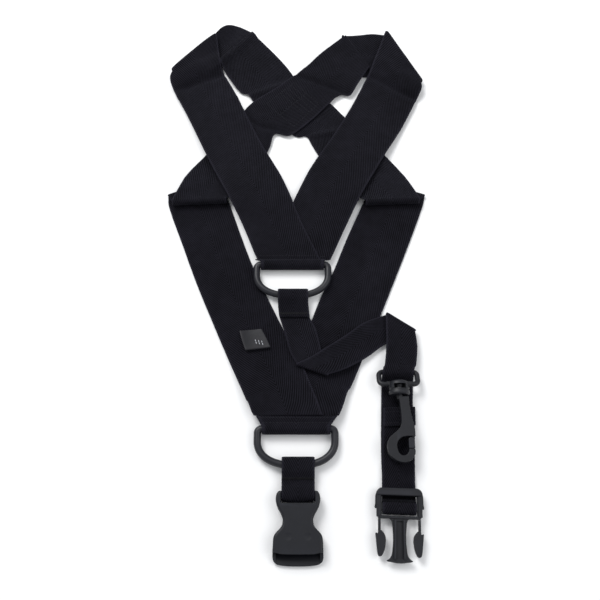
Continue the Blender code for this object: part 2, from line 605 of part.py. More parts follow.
def turned(name, profile, group=None, wide=1.0, segments=32):
    """A round piece on the hook's long axis, from (distance along Y, radius) points; wide stretches it
    across."""
    mesh = bmesh.new()
    rings = []
    for y, r in profile:
        rings.append([mesh.verts.new(Vector((HOOK_X + wide * r * math.cos(2 * math.pi * k / segments), y,
                                             HOOK_Z + r * math.sin(2 * math.pi * k / segments))) * MM)
                      for k in range(segments)])
    for one, two in zip(rings, rings[1:]):
        for k in range(segments):
            n = (k + 1) % segments
            mesh.faces.new((one[k], one[n], two[n], two[k]))
    mesh.faces.new(rings[0])
    mesh.faces.new(rings[-1])
    bmesh.ops.recalc_face_normals(mesh, faces=mesh.faces)
    data = bpy.data.meshes.new(name)
    mesh.to_mesh(data)
    mesh.free()
    if group is None:
        return data
    piece = bpy.data.objects.new(name, data)
    group.objects.link(piece)
    piece.display_type = "WIRE"
    piece.hide_render = True
    return piece


collar = turned("collar", [(-112.4, 5.2), (-113.4, 6.2), (-118.6, 6.7), (-122.6, 6.9), (-123.3, 6.3)],
                CUTTERS, COLLAR_WIDE)
boolean(eye, collar, "UNION")
boolean(eye, turned("swivel_bore", [(-114.8, 3.9), (-120.4, 3.9), (-120.5, 2.6), (-128.0, 2.6)],
                    CUTTERS))
boolean(eye, plate("pin_window", block(HOOK_X - 4.0, HOOK_X + 4.0, -119.0, -115.4), HOOK_Z + 1.5, 20,
                   CUTTERS))

keep("swivel_pin", turned("swivel_pin", [(-115.4, 3.0), (-115.7, 3.4), (-120.0, 3.4), (-120.2, 2.3),
                                         (-125.1, 2.3)]),
     PLASTIC, pivot=(HOOK_X, -120.0, HOOK_Z))

# The body runs down its left side, round the hooked end to its open tip, back round the opening,
# and up its right side.
hook_outline = [
    (80.1, -125.4), (80.5, -128.0), (80.9, -132.0), (81.4, -143.7), (80.8, -147.6), (79.4, -150.4),
    (76.7, -153.0), (73.5, -155.6), (71.4, -157.8), (70.2, -160.4), (69.8, -163.4), (70.1, -166.9),
    (71.2, -170.0), (73.6, -172.9), (77.2, -175.2), (81.0, -176.2), (84.9, -175.7), (88.2, -173.6),
    (90.2, -170.6), (90.7, -166.0), (86.2, -166.0), (85.6, -168.2), (84.4, -170.0), (82.2, -171.0),
    (79.7, -170.5), (77.8, -168.2), (77.0, -164.6), (77.3, -161.2), (79.2, -158.4), (82.0, -156.8),
    (85.2, -156.3), (91.2, -156.3), (91.3, -153.0), (91.0, -149.2), (90.1, -145.0), (89.1, -140.6),
    (88.3, -135.6), (87.8, -130.0), (87.8, -125.4),
]
keep("hook_body", plate("hook_body", hook_outline, HOOK_Z - HOOK_THICK / 2, HOOK_Z + HOOK_THICK / 2,
                        bevel=1.2),
     PLASTIC, pivot=(HOOK_X, -124.0, HOOK_Z))

gate_outline = []
for step in range(0, 181, 20):
    a = math.radians(step)
    gate_outline.append((GATE_PIVOT[0] + GATE_R * math.cos(a), GATE_PIVOT[1] + GATE_R * math.sin(a)))
gate_outline += [(86.0, -165.2), (86.4, -165.6), (90.4, -165.6), (90.7, -165.2)]
keep("hook_gate", plate("hook_gate", gate_outline, HOOK_Z - 2.6, HOOK_Z + 2.6, bevel=0.6), PLASTIC,
     pivot=(*GATE_PIVOT, HOOK_Z))

# --- Sewn details and the label -------------------------------------------------------------------


def thread_frame(name, corners, z):
    """A closed line of lock stitches."""
    return tube(name, [(x, y, z) for x, y in corners], 0.35, THREAD, around=1)


cross_mid = Vector((-2.3, 154.4))
cross_corners = [cross_mid + Vector(step) for step in ((0, 24), (23, 0), (0, -25), (-25, 0))]
thread_frame("cross_patch_stitching", [(c.x, c.y) for c in cross_corners], 4.5)

label_rows = run([pair(-45.8, -68.6, -28.0, -66.9, 3.1), pair(-43.4, -77.0, -23.8, -75.0, 3.4),
                  pair(-40.6, -84.9, -20.6, -82.4, 4.2)], 3)
label_back = run([pair(-40.6, -84.9, -20.6, -82.4, 5.2), pair(-43.4, -77.0, -23.8, -75.0, 4.7),
                  pair(-45.8, -68.6, -28.0, -66.9, 4.1)], 3)
label_fold = fold(label_rows[-1], 5.2, 0.3, -0.95, 6)
ribbon("size_label", label_rows + label_fold + label_back[1:], 0.5, SATIN)


def sewn_bar(name, x0, x1, high, low, pivot=None):
    """A short bar of dense zigzag stitches; high and low are its two long edges (y, z)."""
    return ribbon(name, [pair(x0, y, x1, y, z) for y, z in (high, low)], 0.5, THREAD, pivot)


sewn_bar("adjuster_bartack", -12.6, 8.6, (-52.6, 5.95), (-55.2, 5.85), (loop_x, bow_y, RING_Z))
sewn_bar("tether_bartack", -7.4, 11.4, (-186.2, 7.55), (-188.0, 6.75), (TETHER_X, low_bow + BOW_SAG, RING_Z))
sewn_bar("upper_seam", -25.0, 16.0, (0.6, 8.5), (-0.8, 8.45))
sewn_bar("lower_seam", -25.0, 26.0, (-141.4, 9.45), (-142.8, 9.4))

for piece in list(HARNESS.objects) + list(CUTTERS.objects):
    piece.location -= Vector(ORIGIN) * MM
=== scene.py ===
import math

import bmesh
import bpy
from mathutils import Matrix, Vector, noise
from mathutils.bvhtree import BVHTree


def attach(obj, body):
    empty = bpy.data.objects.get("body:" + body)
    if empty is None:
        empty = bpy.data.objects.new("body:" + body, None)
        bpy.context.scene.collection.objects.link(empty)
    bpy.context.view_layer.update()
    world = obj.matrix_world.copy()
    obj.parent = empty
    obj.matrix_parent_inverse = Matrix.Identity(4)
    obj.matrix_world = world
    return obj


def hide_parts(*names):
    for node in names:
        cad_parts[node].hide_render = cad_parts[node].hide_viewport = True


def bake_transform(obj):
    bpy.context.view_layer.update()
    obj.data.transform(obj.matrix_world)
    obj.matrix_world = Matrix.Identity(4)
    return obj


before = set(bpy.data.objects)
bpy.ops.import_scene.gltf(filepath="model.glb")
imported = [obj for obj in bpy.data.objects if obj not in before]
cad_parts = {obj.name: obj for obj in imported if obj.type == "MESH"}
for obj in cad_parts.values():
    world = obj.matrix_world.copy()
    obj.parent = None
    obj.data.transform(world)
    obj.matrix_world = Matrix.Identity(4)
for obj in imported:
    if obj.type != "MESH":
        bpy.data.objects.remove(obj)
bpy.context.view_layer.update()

# Rows and outlines are millimetres in the part's own drawing frame; ORIGIN is taken off each point.
MM = 0.001
ORIGIN = Vector((0.35, -0.3, 0.0))
WIDE, WIDE_T, NARROW, NARROW_T = 50.0, 1.3, 25.0, 1.15

SCENE = bpy.context.scene


def spot(point):
    """A drawing point as a point of the row frame, in metres."""
    return (Vector(point) - ORIGIN) * MM


def as_data(name, mesh):
    """The mesh data of a finished bmesh, its faces turned outward."""
    bmesh.ops.recalc_face_normals(mesh, faces=mesh.faces)
    data = bpy.data.meshes.new(name)
    mesh.to_mesh(data)
    mesh.free()
    return data


# --- Materials --------------------------------------------------------------------------------------

class Finish:
    """A material built node by node."""

    def __init__(self, name):
        self.material = bpy.data.materials.new(name)
        self.material.use_nodes = True
        self.tree = self.material.node_tree
        self.shader = self.tree.nodes["Principled BSDF"]

    def feed(self, socket, value):
        if isinstance(value, bpy.types.NodeSocket):
            self.tree.links.new(value, socket)
        elif value is not None:
            socket.default_value = value

    def math(self, operation, *values, clamp=False):
        node = self.tree.nodes.new("ShaderNodeMath")
        node.operation = operation
        node.use_clamp = clamp
        for socket, value in zip(node.inputs, values):
            self.feed(socket, value)
        return node.outputs[0]

    def add(self, a, b):
        return self.math("ADD", a, b)

    def times(self, a, b):
        return self.math("MULTIPLY", a, b)

    def span(self, value, low, high, to_low=0.0, to_high=1.0):
        """value taken smoothly from one range to another, and held at its ends."""
        node = self.tree.nodes.new("ShaderNodeMapRange")
        node.interpolation_type = "SMOOTHSTEP"
        for socket, number in zip(node.inputs, (value, low, high, to_low, to_high)):
            self.feed(socket, number)
        return node.outputs[0]

    def noise(self, vector, scale, detail=2.0, roughness=0.5):
        node = self.tree.nodes.new("ShaderNodeTexNoise")
        for label, number in (("Vector", vector), ("Scale", scale), ("Detail", detail),
                              ("Roughness", roughness)):
            self.feed(node.inputs[label], number)
        return node.outputs[0]

    def mix(self, share, one, two):
        node = self.tree.nodes.new("ShaderNodeMix")
        node.data_type = "RGBA"
        self.feed(node.inputs[0], share)
        self.feed(node.inputs[6], (*one, 1.0) if isinstance(one, tuple) else one)
        self.feed(node.inputs[7], (*two, 1.0) if isinstance(two, tuple) else two)
        return node.outputs[2]

    def bump(self, height, distance, strength=1.0, under=None):
        node = self.tree.nodes.new("ShaderNodeBump")
        for label, number in (("Height", height), ("Distance", distance), ("Strength", strength),
                              ("Normal", under)):
            self.feed(node.inputs[label], number)
        return node.outputs[0]

    def place(self):
        """The point of the surface in the object's own frame, in metres."""
        return self.tree.nodes.new("ShaderNodeTexCoord").outputs["Object"]

    def weave(self):
        """(across from the middle, along) of a strap, in metres."""
        node = self.tree.nodes.new("ShaderNodeUVMap")
        node.uv_map = "weave"
        split = self.tree.nodes.new("ShaderNodeSeparateXYZ")
        self.feed(split.inputs[0], node.outputs[0])
        return node.outputs[0], split.outputs[0], split.outputs[1]

    def stretched(self, vector, x, y, z=1.0):
        node = self.tree.nodes.new("ShaderNodeMapping")
        self.feed(node.inputs["Vector"], vector)
        node.inputs["Scale"].default_value = (x, y, z)
        return node.outputs[0]

    def finish(self, colour, roughness, normal=None, **values):
        self.feed(self.shader.inputs["Base Color"], colour)
        self.feed(self.shader.inputs["Roughness"], roughness)
        if normal is not None:
            self.feed(self.shader.inputs["Normal"], normal)
        for label, value in values.items():
            self.shader.inputs[label.replace("_", " ")].default_value = value
        return self.material


def herringbone(name, half, yarn, repeat, side, dark, light, painted_shade_span=None):
    """Herringbone twill with one reversal along the middle. Four warp yarns make one step of the twill;
    repeat is its length along the strap, side says which way the ribs lean, and the last argument is the
    stretch along it whose colour is painted dark, a painted shadow where the strap lies in shade under a
    bar."""
    made = Finish(name)
    uv, across, along = made.weave()
    off = made.math("ABSOLUTE", across)
    count = made.math("DIVIDE", off, yarn)
    step = made.math("FLOOR", count)
    inside = made.math("FRACT", count)
    turn = made.math("FRACT", made.add(made.math("DIVIDE", along, repeat), made.times(step, side * 0.25)))
    wave = made.math("SINE", made.times(turn, 2 * math.pi))
    float_ = made.math("MULTIPLY_ADD", wave, 1.3, 0.45, clamp=True)
    round_ = made.math("POWER", made.math("SINE", made.times(inside, math.pi)), 0.6)
    rib = made.times(round_, made.math("MULTIPLY_ADD", float_, 0.86, 0.14))
    # The selvedge is a plain narrow edge with the weft turning in it
    edge = made.span(off, half - 0.0016, half - 0.0010)
    turns = made.math("MULTIPLY_ADD", made.math("SINE", made.times(along, 2 * math.pi / 0.0011)), 0.3, 0.6)
    height = made.add(made.times(rib, made.math("SUBTRACT", 1.0, edge)), made.times(turns, edge))
    hair = made.noise(made.stretched(uv, 9000, 1400), 1.0, 2.0)
    cloud = made.noise(made.place(), 22.0, 3.0)
    patch = made.noise(made.place(), 140.0, 2.0)
    fuzz = made.span(off, half - 0.0030, half, 0.0, 0.15)
    shade = made.add(made.times(height, made.math("MULTIPLY_ADD", hair, 0.5, 0.6)),
                     made.math("MULTIPLY_ADD", cloud, 0.5, -0.25))
    shade = made.add(shade, made.math("MULTIPLY_ADD", patch, 0.3, -0.15))
    shade = made.math("ADD", shade, fuzz, clamp=True)
    # Painted shadow: between the two ends of the stretch the colour is taken down to the dark yarn tone, as
    # shade under a bar.
    if painted_shade_span:
        start, end = painted_shade_span
        shade = made.math("MULTIPLY", shade, made.math(
            "ADD", made.span(along, start, start + 0.0012, 1.0, 0.0),
            made.span(along, end - 0.0012, end, 0.0, 1.0), clamp=True))
    colour = made.mix(shade, dark, light)
    rough = made.span(shade, 0.0, 1.0, 0.88, 0.62)
    coarse = made.bump(made.noise(made.place(), 60.0, 2.0), 0.0010, 0.25)
    normal = made.bump(made.add(height, made.times(hair, 0.25)), 0.00036, 1.0, coarse)
    return made.finish(colour, rough, normal, Specular_IOR_Level=0.07, Sheen_Weight=0.05,
                       Sheen_Roughness=0.40, Sheen_Tint=(0.75, 0.78, 1.0, 1.0))


def moulded(name, dark, light, rough, grain=1.0):
    """Moulded plastic with a fine spark-eroded grain, and convex edges painted lighter as a painted
    highlight.
    """
    made = Finish(name)
    where = made.place()
    fine = made.noise(where, 2600.0, 2.0)
    cloud = made.noise(where, 90.0, 3.0)
    scuff = made.noise(made.stretched(where, 500, 120, 300), 1.0, 4.0, 0.7)
    geometry = made.tree.nodes.new("ShaderNodeNewGeometry")
    # Painted highlight: convex edges, found by pointiness, are taken towards the light colour.
    edge = made.span(geometry.outputs["Pointiness"], 0.505, 0.60)
    marks = made.span(scuff, 0.60, 0.75, 0.0, 0.30)
    shade = made.math("ADD", made.times(cloud, 0.5), made.add(made.times(edge, 0.5), marks), clamp=True)
    colour = made.mix(shade, dark, light)
    gloss = made.math("ADD", made.math("MULTIPLY_ADD", cloud, 0.10, rough - 0.05),
                      made.times(marks, 0.25), clamp=True)
    normal = made.bump(fine, 0.00004 * grain, 0.6, made.bump(cloud, 0.0003, 0.15))
    return made.finish(colour, gloss, normal, Specular_IOR_Level=0.36)


def twisted(name, dark, light):
    """Twisted sewing thread."""
    made = Finish(name)
    where = made.place()
    strand = made.noise(where, 3800.0, 2.0)
    colour = made.mix(strand, dark, light)
    return made.finish(colour, 0.55, made.bump(strand, 0.0001, 0.7), Specular_IOR_Level=0.12,
                       Sheen_Weight=0.05)


def satin(name, dark, light):
    """Woven satin ribbon with a fine lengthwise grain."""
    made = Finish(name)
    uv, across, along = made.weave()
    grain = made.noise(made.stretched(uv, 5200, 700), 1.0, 2.0)
    rows = made.math("MULTIPLY_ADD", made.math("SINE", made.times(along, 2 * math.pi / 0.00045)), 0.3, 0.5)
    height = made.add(made.times(grain, 0.6), made.times(rows, 0.4))
    cloud = made.noise(made.place(), 180.0, 2.0)
    colour = made.mix(made.math("MULTIPLY_ADD", cloud, 0.6, made.math("MULTIPLY", height, 0.4)), dark, light)
    return made.finish(colour, made.span(height, 0.0, 1.0, 0.5, 0.36), made.bump(height, 0.00008, 0.6),
                       Specular_IOR_Level=0.22, Sheen_Weight=0.05)


BLACK_DARK, BLACK_LIGHT = (0.0012, 0.0011, 0.0018), (0.0195, 0.0185, 0.0275)
WEB_LEFT = herringbone("webbing_left", 0.025, 0.000425, 0.0032, -1, BLACK_DARK, BLACK_LIGHT)
WEB_RIGHT = herringbone("webbing_right", 0.025, 0.000425, 0.0032, 1, BLACK_DARK, BLACK_LIGHT)
WEB_NARROW = herringbone("webbing_narrow", 0.0125, 0.00042, 0.0031, 1, BLACK_DARK, BLACK_LIGHT)
# The tail's colour is painted dark from 25.6 to 35.5 mm along, a painted shadow where it dives from the
# webbing bar through the frame's upper slot and under the top bar.
WEB_TAIL = herringbone("webbing_tail", 0.0125, 0.00042, 0.0031, 1, BLACK_DARK, BLACK_LIGHT,
                       (0.0256, 0.0355))
PLASTIC = moulded("moulded_plastic", (0.0030, 0.0034, 0.0056), (0.0135, 0.0145, 0.0205), 0.46)
RING = moulded("moulded_ring", (0.0070, 0.0072, 0.0105), (0.023, 0.0235, 0.031), 0.40, 1.6)
DULL_THREAD = twisted("dull_thread", (0.0008, 0.0008, 0.0012), (0.0075, 0.0075, 0.0105))
THREAD = twisted("black_thread", (0.0030, 0.0030, 0.0042), (0.0240, 0.0235, 0.0320))
PALE_THREAD = twisted("pale_thread", (0.36, 0.37, 0.40), (0.66, 0.67, 0.72))
DARK_PLASTIC = moulded("moulded_socket", (0.0014, 0.0018, 0.0042), (0.0085, 0.0100, 0.0165), 0.46)
SATIN = satin("satin_ribbon", (0.0025, 0.0025, 0.0038), (0.0125, 0.0125, 0.0175))


# --- Straps -----------------------------------------------------------------------------------------

def pair(ox, oy, ix, iy, z, z_in=None, bow=(0.0, 0.0)):
    """One row across a strap: its outer and inner edge points, and how far its middle bows out."""
    return Vector((ox, oy, z)), Vector((ix, iy, z if z_in is None else z_in)), Vector((*bow, 0.0))


def run(rows, steps=4):
    """Rows made closer together along a smooth curve through the given rows."""
    made = []
    last = len(rows) - 1
    for k in range(last):
        near = [rows[max(k - 1, 0)], rows[k], rows[k + 1], rows[min(k + 2, last)]]
        for step in range(steps):
            t = step / steps
            weights = (
                -0.5 * t + t * t - 0.5 * t ** 3,
                1 - 2.5 * t * t + 1.5 * t ** 3,
                0.5 * t + 2 * t * t - 1.5 * t ** 3,
                -0.5 * t * t + 0.5 * t ** 3,
            )
            row = tuple(sum((r[side] * w for r, w in zip(near, weights)), Vector())
                        for side in (0, 1, 2))
            for edge, one, two in zip(row, rows[k], rows[k + 1]):
                edge.z = min(max(edge.z, min(one.z, two.z)), max(one.z, two.z))
            made.append(row)
    made.append(rows[last])
    return made


def fold(row, z, out_x, out_y, steps=12):
    """The half turn that takes a strap from its present height to z, bulging to one side."""
    out = Vector((out_x, out_y, 0)).normalized()
    made = []
    for k in range(1, steps + 1):
        angle = math.pi * k / steps
        made.append(tuple(
            edge + out * (abs(z - edge.z) / 2 * math.sin(angle))
            + Vector((0, 0, (z - edge.z) / 2 * (1 - math.cos(angle))))
            for edge in row[:2]
        ) + row[2:])
    return made


def joined(stretches, folds):
    """The rows of a strap from its stretches, with a fold between each two; a fold is what fold()
    takes after its row."""
    rows = stretches[0]
    for stretch, turn in zip(stretches[1:], folds):
        rows = rows + fold(rows[-1], *turn) + stretch[1:]
    return rows


def arc(centre, radius, start, turn, steps=16):
    """Points of an arc in a plane, from one angle through a turn, both in degrees."""
    angles = (math.radians(start + turn * k / steps) for k in range(steps + 1))
    return [(centre[0] + radius * math.cos(a), centre[1] + radius * math.sin(a)) for a in angles]


def even(rows, gap):
    """The rows again, evenly spaced about gap apart where they were further apart than that."""
    made = [rows[0]]
    for one, two in zip(rows, rows[1:]):
        far = ((two[0] + two[1]) - (one[0] + one[1])).length / 2
        parts = max(1, round(far / gap))
        for k in range(1, parts + 1):
            made.append(tuple(a.lerp(b, k / parts) for a, b in zip(one, two)))
    return made


def length_of(rows):
    """Length along the middle of a strap, in millimetres."""
    return sum(((b[0] + b[1]) - (a[0] + a[1])).length / 2 for a, b in zip(rows, rows[1:]))


ACROSS_WIDE = (0.0, 0.12, 0.25, 0.38, 0.50, 0.62, 0.74, 0.84, 0.92, 0.965, 0.988, 1.0)
ACROSS_NARROW = (0.0, 0.16, 0.34, 0.52, 0.70, 0.84, 0.93, 0.975, 1.0)


def ripple(point, height):
    """The gentle unevenness of webbing that has been worn and laid down; the same for every layer."""
    n = noise.noise(Vector((point.x * 0.045, point.y * 0.045, 3.7)))
    m = noise.noise(Vector((point.x * 0.13, point.y * 0.13, 9.1)))
    return height * (0.55 + 0.75 * n + 0.25 * m)


STEEP = 6.0         # how much sharper the steep side of a crease is


def crease_at(point, creases):
    """How far soft creases raise or lower a point. A crease is a line in plan, its half width, its
    depth (up is positive) and the lowest height of the layer that it belongs to. A negative width
    makes the side to the left of the line fall away steeply."""
    total = 0.0
    for x0, y0, x1, y1, width, depth, lowest in creases:
        if point.z < lowest:
            continue
        start, line = Vector((x0, y0)), Vector((x1 - x0, y1 - y0))
        away = Vector((point.x, point.y)) - start
        t = away.dot(line) / line.length_squared
        side = (away - line * t).length
        if width < 0 and line.cross(away) > 0:
            side *= STEEP
        ends = max(0.0, -t, t - 1.0) * line.length
        total += depth * math.exp(-(side / width) ** 2 - (ends / (2 * width)) ** 2)
    return total


def strap(name, rows, width, thick, surface, start=0.0, gap=2.0, wave=0.45, creases=(), body=None,
          replaces=(), slot="black_webbing", cup=0.0):
    """A woven strap through the rows: thin rounded selvedges, an even body and a weave map."""
    rows = even(rows, gap)
    half = [0.25, 0.62, 0.88] + [1.0] * 20
    steps = ACROSS_WIDE if width > 30 else ACROSS_NARROW
    across = [-s for s in reversed(steps[1:])] + list(steps)
    mesh = bmesh.new()
    weave = mesh.loops.layers.uv.new("weave")
    rings, along = [], start
    for k, (outer, inner, bow) in enumerate(rows):
        before, after = rows[max(k - 1, 0)], rows[min(k + 1, len(rows) - 1)]
        direction = (after[0] + after[1]) - (before[0] + before[1])
        up = direction.cross(inner - outer).normalized()
        middle, reach = (outer + inner) / 2, (inner - outer) / 2
        if k:
            last = rows[k - 1]
            along += ((outer + inner) - (last[0] + last[1])).length / 2
        rough = [1 + 0.14 / reach.length * noise.noise(Vector((along * 0.9, 5.0 * e, 1.3)))
                 for e in (0, 1)]
        top, low = [], []
        for n, s in enumerate(across):
            wide = s * (rough[0] if s < 0 else rough[1]) if abs(s) > 0.98 else s
            point = middle + reach * wide + bow * (1 - s ** 4)
            lift = ripple(point, wave) + crease_at(point, creases) + cup * s * s
            point.z += lift
            t = half[min(n, len(across) - 1 - n)] * thick / 2
            for side, made in ((1, top), (-1, low)):
                vertex = mesh.verts.new(spot(point + up * (t * side)))
                made.append((vertex, s * width / 2 * MM, along * MM))
        rings.append(top + low[::-1])
    count = len(rings[0])

    def face(corners):
        made = mesh.faces.new([c[0] for c in corners])
        for loop, corner in zip(made.loops, corners):
            loop[weave].uv = (corner[1], corner[2])

    for one, two in zip(rings, rings[1:]):
        for k in range(count):
            n = (k + 1) % count
            face((one[k], one[n], two[n], two[k]))
    wide = len(across)
    for ring in (rings[0], rings[-1]):
        for k in range(wide - 1):
            face((ring[k], ring[k + 1], ring[count - 2 - k], ring[count - 1 - k]))
    return piece(name, as_data(name, mesh), surface, body, replaces, slot, 50)


def piece(name, data, surface, body=None, replaces=(), slot=None, angle=35):
    """An object of the finished model, smooth except where it turns by more than angle."""
    made = bpy.data.objects.new(name, data)
    SCENE.collection.objects.link(made)
    data.materials.clear()
    data.materials.append(surface)
    data.polygons.foreach_set("use_smooth", [True] * len(data.polygons))
    data.set_sharp_from_angle(angle=math.radians(angle))
    if slot and slot.endswith("plastic"):
        made.modifiers.new("even_light", "WEIGHTED_NORMAL").keep_sharp = True
    if body:
        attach(made, body)
    if replaces:
        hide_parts(*replaces)
    return made


# --- Shoulder straps --------------------------------------------------------------------------------
WIDE_LOW, ROLL_TOP = 0.8, 8.4
RING_STOCK, RING_HALF, RING_LEG, RING_BOW, RING_Z = 2.8, 29.9, 9.0, 19.2, 4.9
UPPER_BAR, LOWER_BAR = (-3.0, -9.5), (0.4, -149.0)
KEEPER_R = RING_STOCK + 0.3 + 0.8
BOW_Y = RING_LEG + RING_BOW
TURN = 12                # rows to each stretch of a strap
SECOND, THIRD = 2.7, 4.6  # heights of the second and third layers of folded webbing


cut, slope, level, past = (UPPER_BAR[1] + step for step in (4.1, 8.0, 15.0, 36.5))
low_cut, low_slope, low_level, low_past = (LOWER_BAR[1] + step for step in (9.9, 14.0, 20.0, 36.5))

left_front = run([
    pair(-32.6, cut, 20.4, cut, 7.0),
    pair(-34.4, slope, 18.6, slope, 7.2),
    pair(-37.2, level, 15.4, level, 7.2),
    pair(-45.8, past, 5.7, past, 7.4),
    pair(-57.5, 51.0, -11.2, 70.4, 10.2, 8.2),
    pair(-76.6, 89.6, -31.4, 110.4, 7.0, 5.0),
    pair(-98.8, 138.5, -54.0, 160.2, 3.6, 3.9),
    pair(-113.2, 167.0, -68.8, 190.5, 3.8),
    pair(-118.0, 181.0, -73.0, 209.0, 5.4),
    pair(-115.4, 190.5, -76.3, 232.8, 6.6, bow=(-0.9, 0.9)),
], TURN)
left_back = run([
    pair(-115.4, 190.5, -76.3, 232.8, WIDE_LOW, bow=(-0.9, 0.9)),
    pair(-104.0, 201.0, -75.0, 243.0, WIDE_LOW),
    pair(-90.0, 203.0, -67.0, 248.8, WIDE_LOW),
    pair(-74.0, 199.0, -56.5, 246.8, WIDE_LOW),
    pair(-58.3, 191.5, -43.0, 237.8, WIDE_LOW),
], 8)
left_pleat = run([
    pair(-58.3, 191.5, -43.0, 237.8, SECOND),
    pair(-72.5, 201.0, -41.6, 235.0, SECOND),
], 6)
left_rear = run([
    pair(-72.5, 201.0, -41.6, 235.0, THIRD),
    pair(-62.0, 181.8, -22.3, 213.4, 3.0),
    pair(-52.2, 168.6, -10.5, 199.0, 1.9),
    pair(-45.0, 165.3, -5.0, 191.0, 1.2),
    pair(-38.2, 156.5, -0.5, 185.0, 0.9),
    pair(-19.5, 137.0, 14.5, 172.0, WIDE_LOW),
    pair(-1.0, 120.6, 31.0, 157.2, WIDE_LOW),
    pair(9.2, 120.2, 43.0, 143.2, WIDE_LOW),
    pair(15.0, 109.5, 53.5, 131.0, WIDE_LOW),
    pair(25.5, 90.0, 64.5, 117.0, 1.0),
    pair(39.0, 68.0, 80.4, 97.4, 3.8),
    pair(50.0, 57.0, 97.0, 73.0, 5.6, 6.6),
    pair(60.5, 50.5, 107.6, 52.5, ROLL_TOP),
], TURN)
left_under = run([pair(60.5, 50.5, 107.6, 52.5, SECOND), pair(66.5, 73.0, 113.0, 58.0, SECOND)], 8)
left_low = run([
    pair(66.5, 73.0, 113.0, 58.0, WIDE_LOW),
    pair(58.7, 51.3, 109.6, 45.3, WIDE_LOW),
    pair(44.0, 17.5, 94.5, 6.0, WIDE_LOW),
    pair(31.3, -15.0, 78.0, -34.5, WIDE_LOW),
    pair(20.5, -38.5, 67.6, -59.5, WIDE_LOW),
    pair(11.0, -63.0, 57.2, -84.0, WIDE_LOW),
    pair(-1.5, -92.0, 44.9, -113.0, 0.9, 3.0),
    pair(-9.5, low_past, 41.0, -119.5, 3.2, 4.6),
    pair(-17.0, low_level, 37.8, low_level, 5.0, 5.5),
    pair(-19.6, low_slope, 35.6, low_slope, 5.2, 6.4),
    pair(-21.4, low_cut, 33.6, low_cut, 5.2, 7.0),
], TURN)
left_rows = joined(
    [left_front, left_back, left_pleat, left_rear, left_under, left_low],
    [(WIDE_LOW, -0.7, 0.71), (SECOND, 0.94, -0.34), (THIRD, -0.74, 0.67), (SECOND, 0.0, -1.0, 14),
     (WIDE_LOW, 0.3, 0.95)])

right_front = run([
    pair(29.0, cut, -24.8, cut, 5.0),
    pair(30.8, slope, -23.0, slope, 5.2),
    pair(33.8, level, -20.3, level, 5.2),
    pair(43.1, past, -12.0, past, 5.3),
    pair(57.6, 57.0, 10.6, 80.2, 9.8, 5.2),
    pair(79.4, 98.0, 34.0, 120.5, 6.8, 4.0),
    pair(95.9, 127.2, 50.5, 150.5, 3.6, 3.2),
    pair(110.4, 157.0, 65.5, 182.5, 3.8),
    pair(116.4, 170.0, 74.0, 204.0, 5.4),
    pair(115.4, 178.4, 85.4, 236.0, 6.6),
], TURN)
right_back = run([
    pair(115.4, 178.4, 85.4, 236.0, WIDE_LOW),
    pair(98.0, 188.0, 73.0, 237.4, WIDE_LOW),
    pair(74.0, 187.0, 59.0, 235.9, WIDE_LOW),
    pair(51.5, 186.0, 45.0, 235.0, WIDE_LOW),
], 8)
right_pleat = run([
    pair(51.5, 186.0, 45.0, 235.0, SECOND),
    pair(68.0, 194.5, 46.5, 232.6, SECOND),
], 6)
right_rear = run([
    pair(68.0, 194.5, 46.5, 232.6, THIRD),
    pair(58.6, 178.5, 24.0, 212.6, 4.2),
    pair(50.4, 164.4, 12.5, 200.0, 3.8),
    pair(43.0, 164.9, 6.0, 194.0, 3.4),
    pair(36.2, 161.2, 0.5, 188.5, 3.1),
    pair(31.5, 156.0, -4.5, 185.0, 3.0),
    pair(15.0, 138.0, -20.0, 172.0, 2.9),
    pair(-5.0, 120.6, -39.8, 157.0, 2.8),
    pair(-19.4, 122.0, -50.5, 144.8, 2.4, 1.9),
    pair(-24.5, 106.5, -63.0, 127.0, 1.8, 1.5),
    pair(-37.0, 79.0, -81.8, 99.5, 1.4),
    pair(-48.5, 61.0, -97.2, 75.6, 5.4, 6.6),
    pair(-60.5, 52.5, -107.8, 50.5, ROLL_TOP),
], TURN)
right_under = run([pair(-60.5, 52.5, -107.8, 50.5, SECOND), pair(-66.5, 75.0, -112.5, 58.0, SECOND)], 8)
right_low = run([
    pair(-66.5, 75.0, -112.5, 58.0, WIDE_LOW),
    pair(-58.5, 51.3, -110.4, 45.3, WIDE_LOW),
    pair(-48.0, 21.0, -97.0, 10.0, WIDE_LOW),
    pair(-36.9, -8.5, -83.5, -25.0, WIDE_LOW),
    pair(-22.5, -40.5, -68.5, -60.0, 0.9),
    pair(-8.0, -71.0, -53.5, -94.0, 2.2, 1.6),
    pair(5.5, -97.4, -40.5, -122.5, 3.8, 5.8),
    pair(11.5, low_past, -39.0, -126.0, 5.7, 6.4),
    pair(17.6, low_level, -37.0, low_level, 7.3, 7.1),
    pair(19.6, low_slope, -34.7, low_slope, 8.1, 7.3),
    pair(20.9, low_cut, -32.6, low_cut, 8.8, 7.4),
], TURN)
right_rows = joined(
    [right_front, right_back, right_pleat, right_rear, right_under, right_low],
    [(WIDE_LOW, 0.88, 0.47), (SECOND, -0.99, -0.14), (THIRD, 0.86, 0.51), (SECOND, 0.0, -1.0, 14),
     (WIDE_LOW, -0.3, 0.95)])

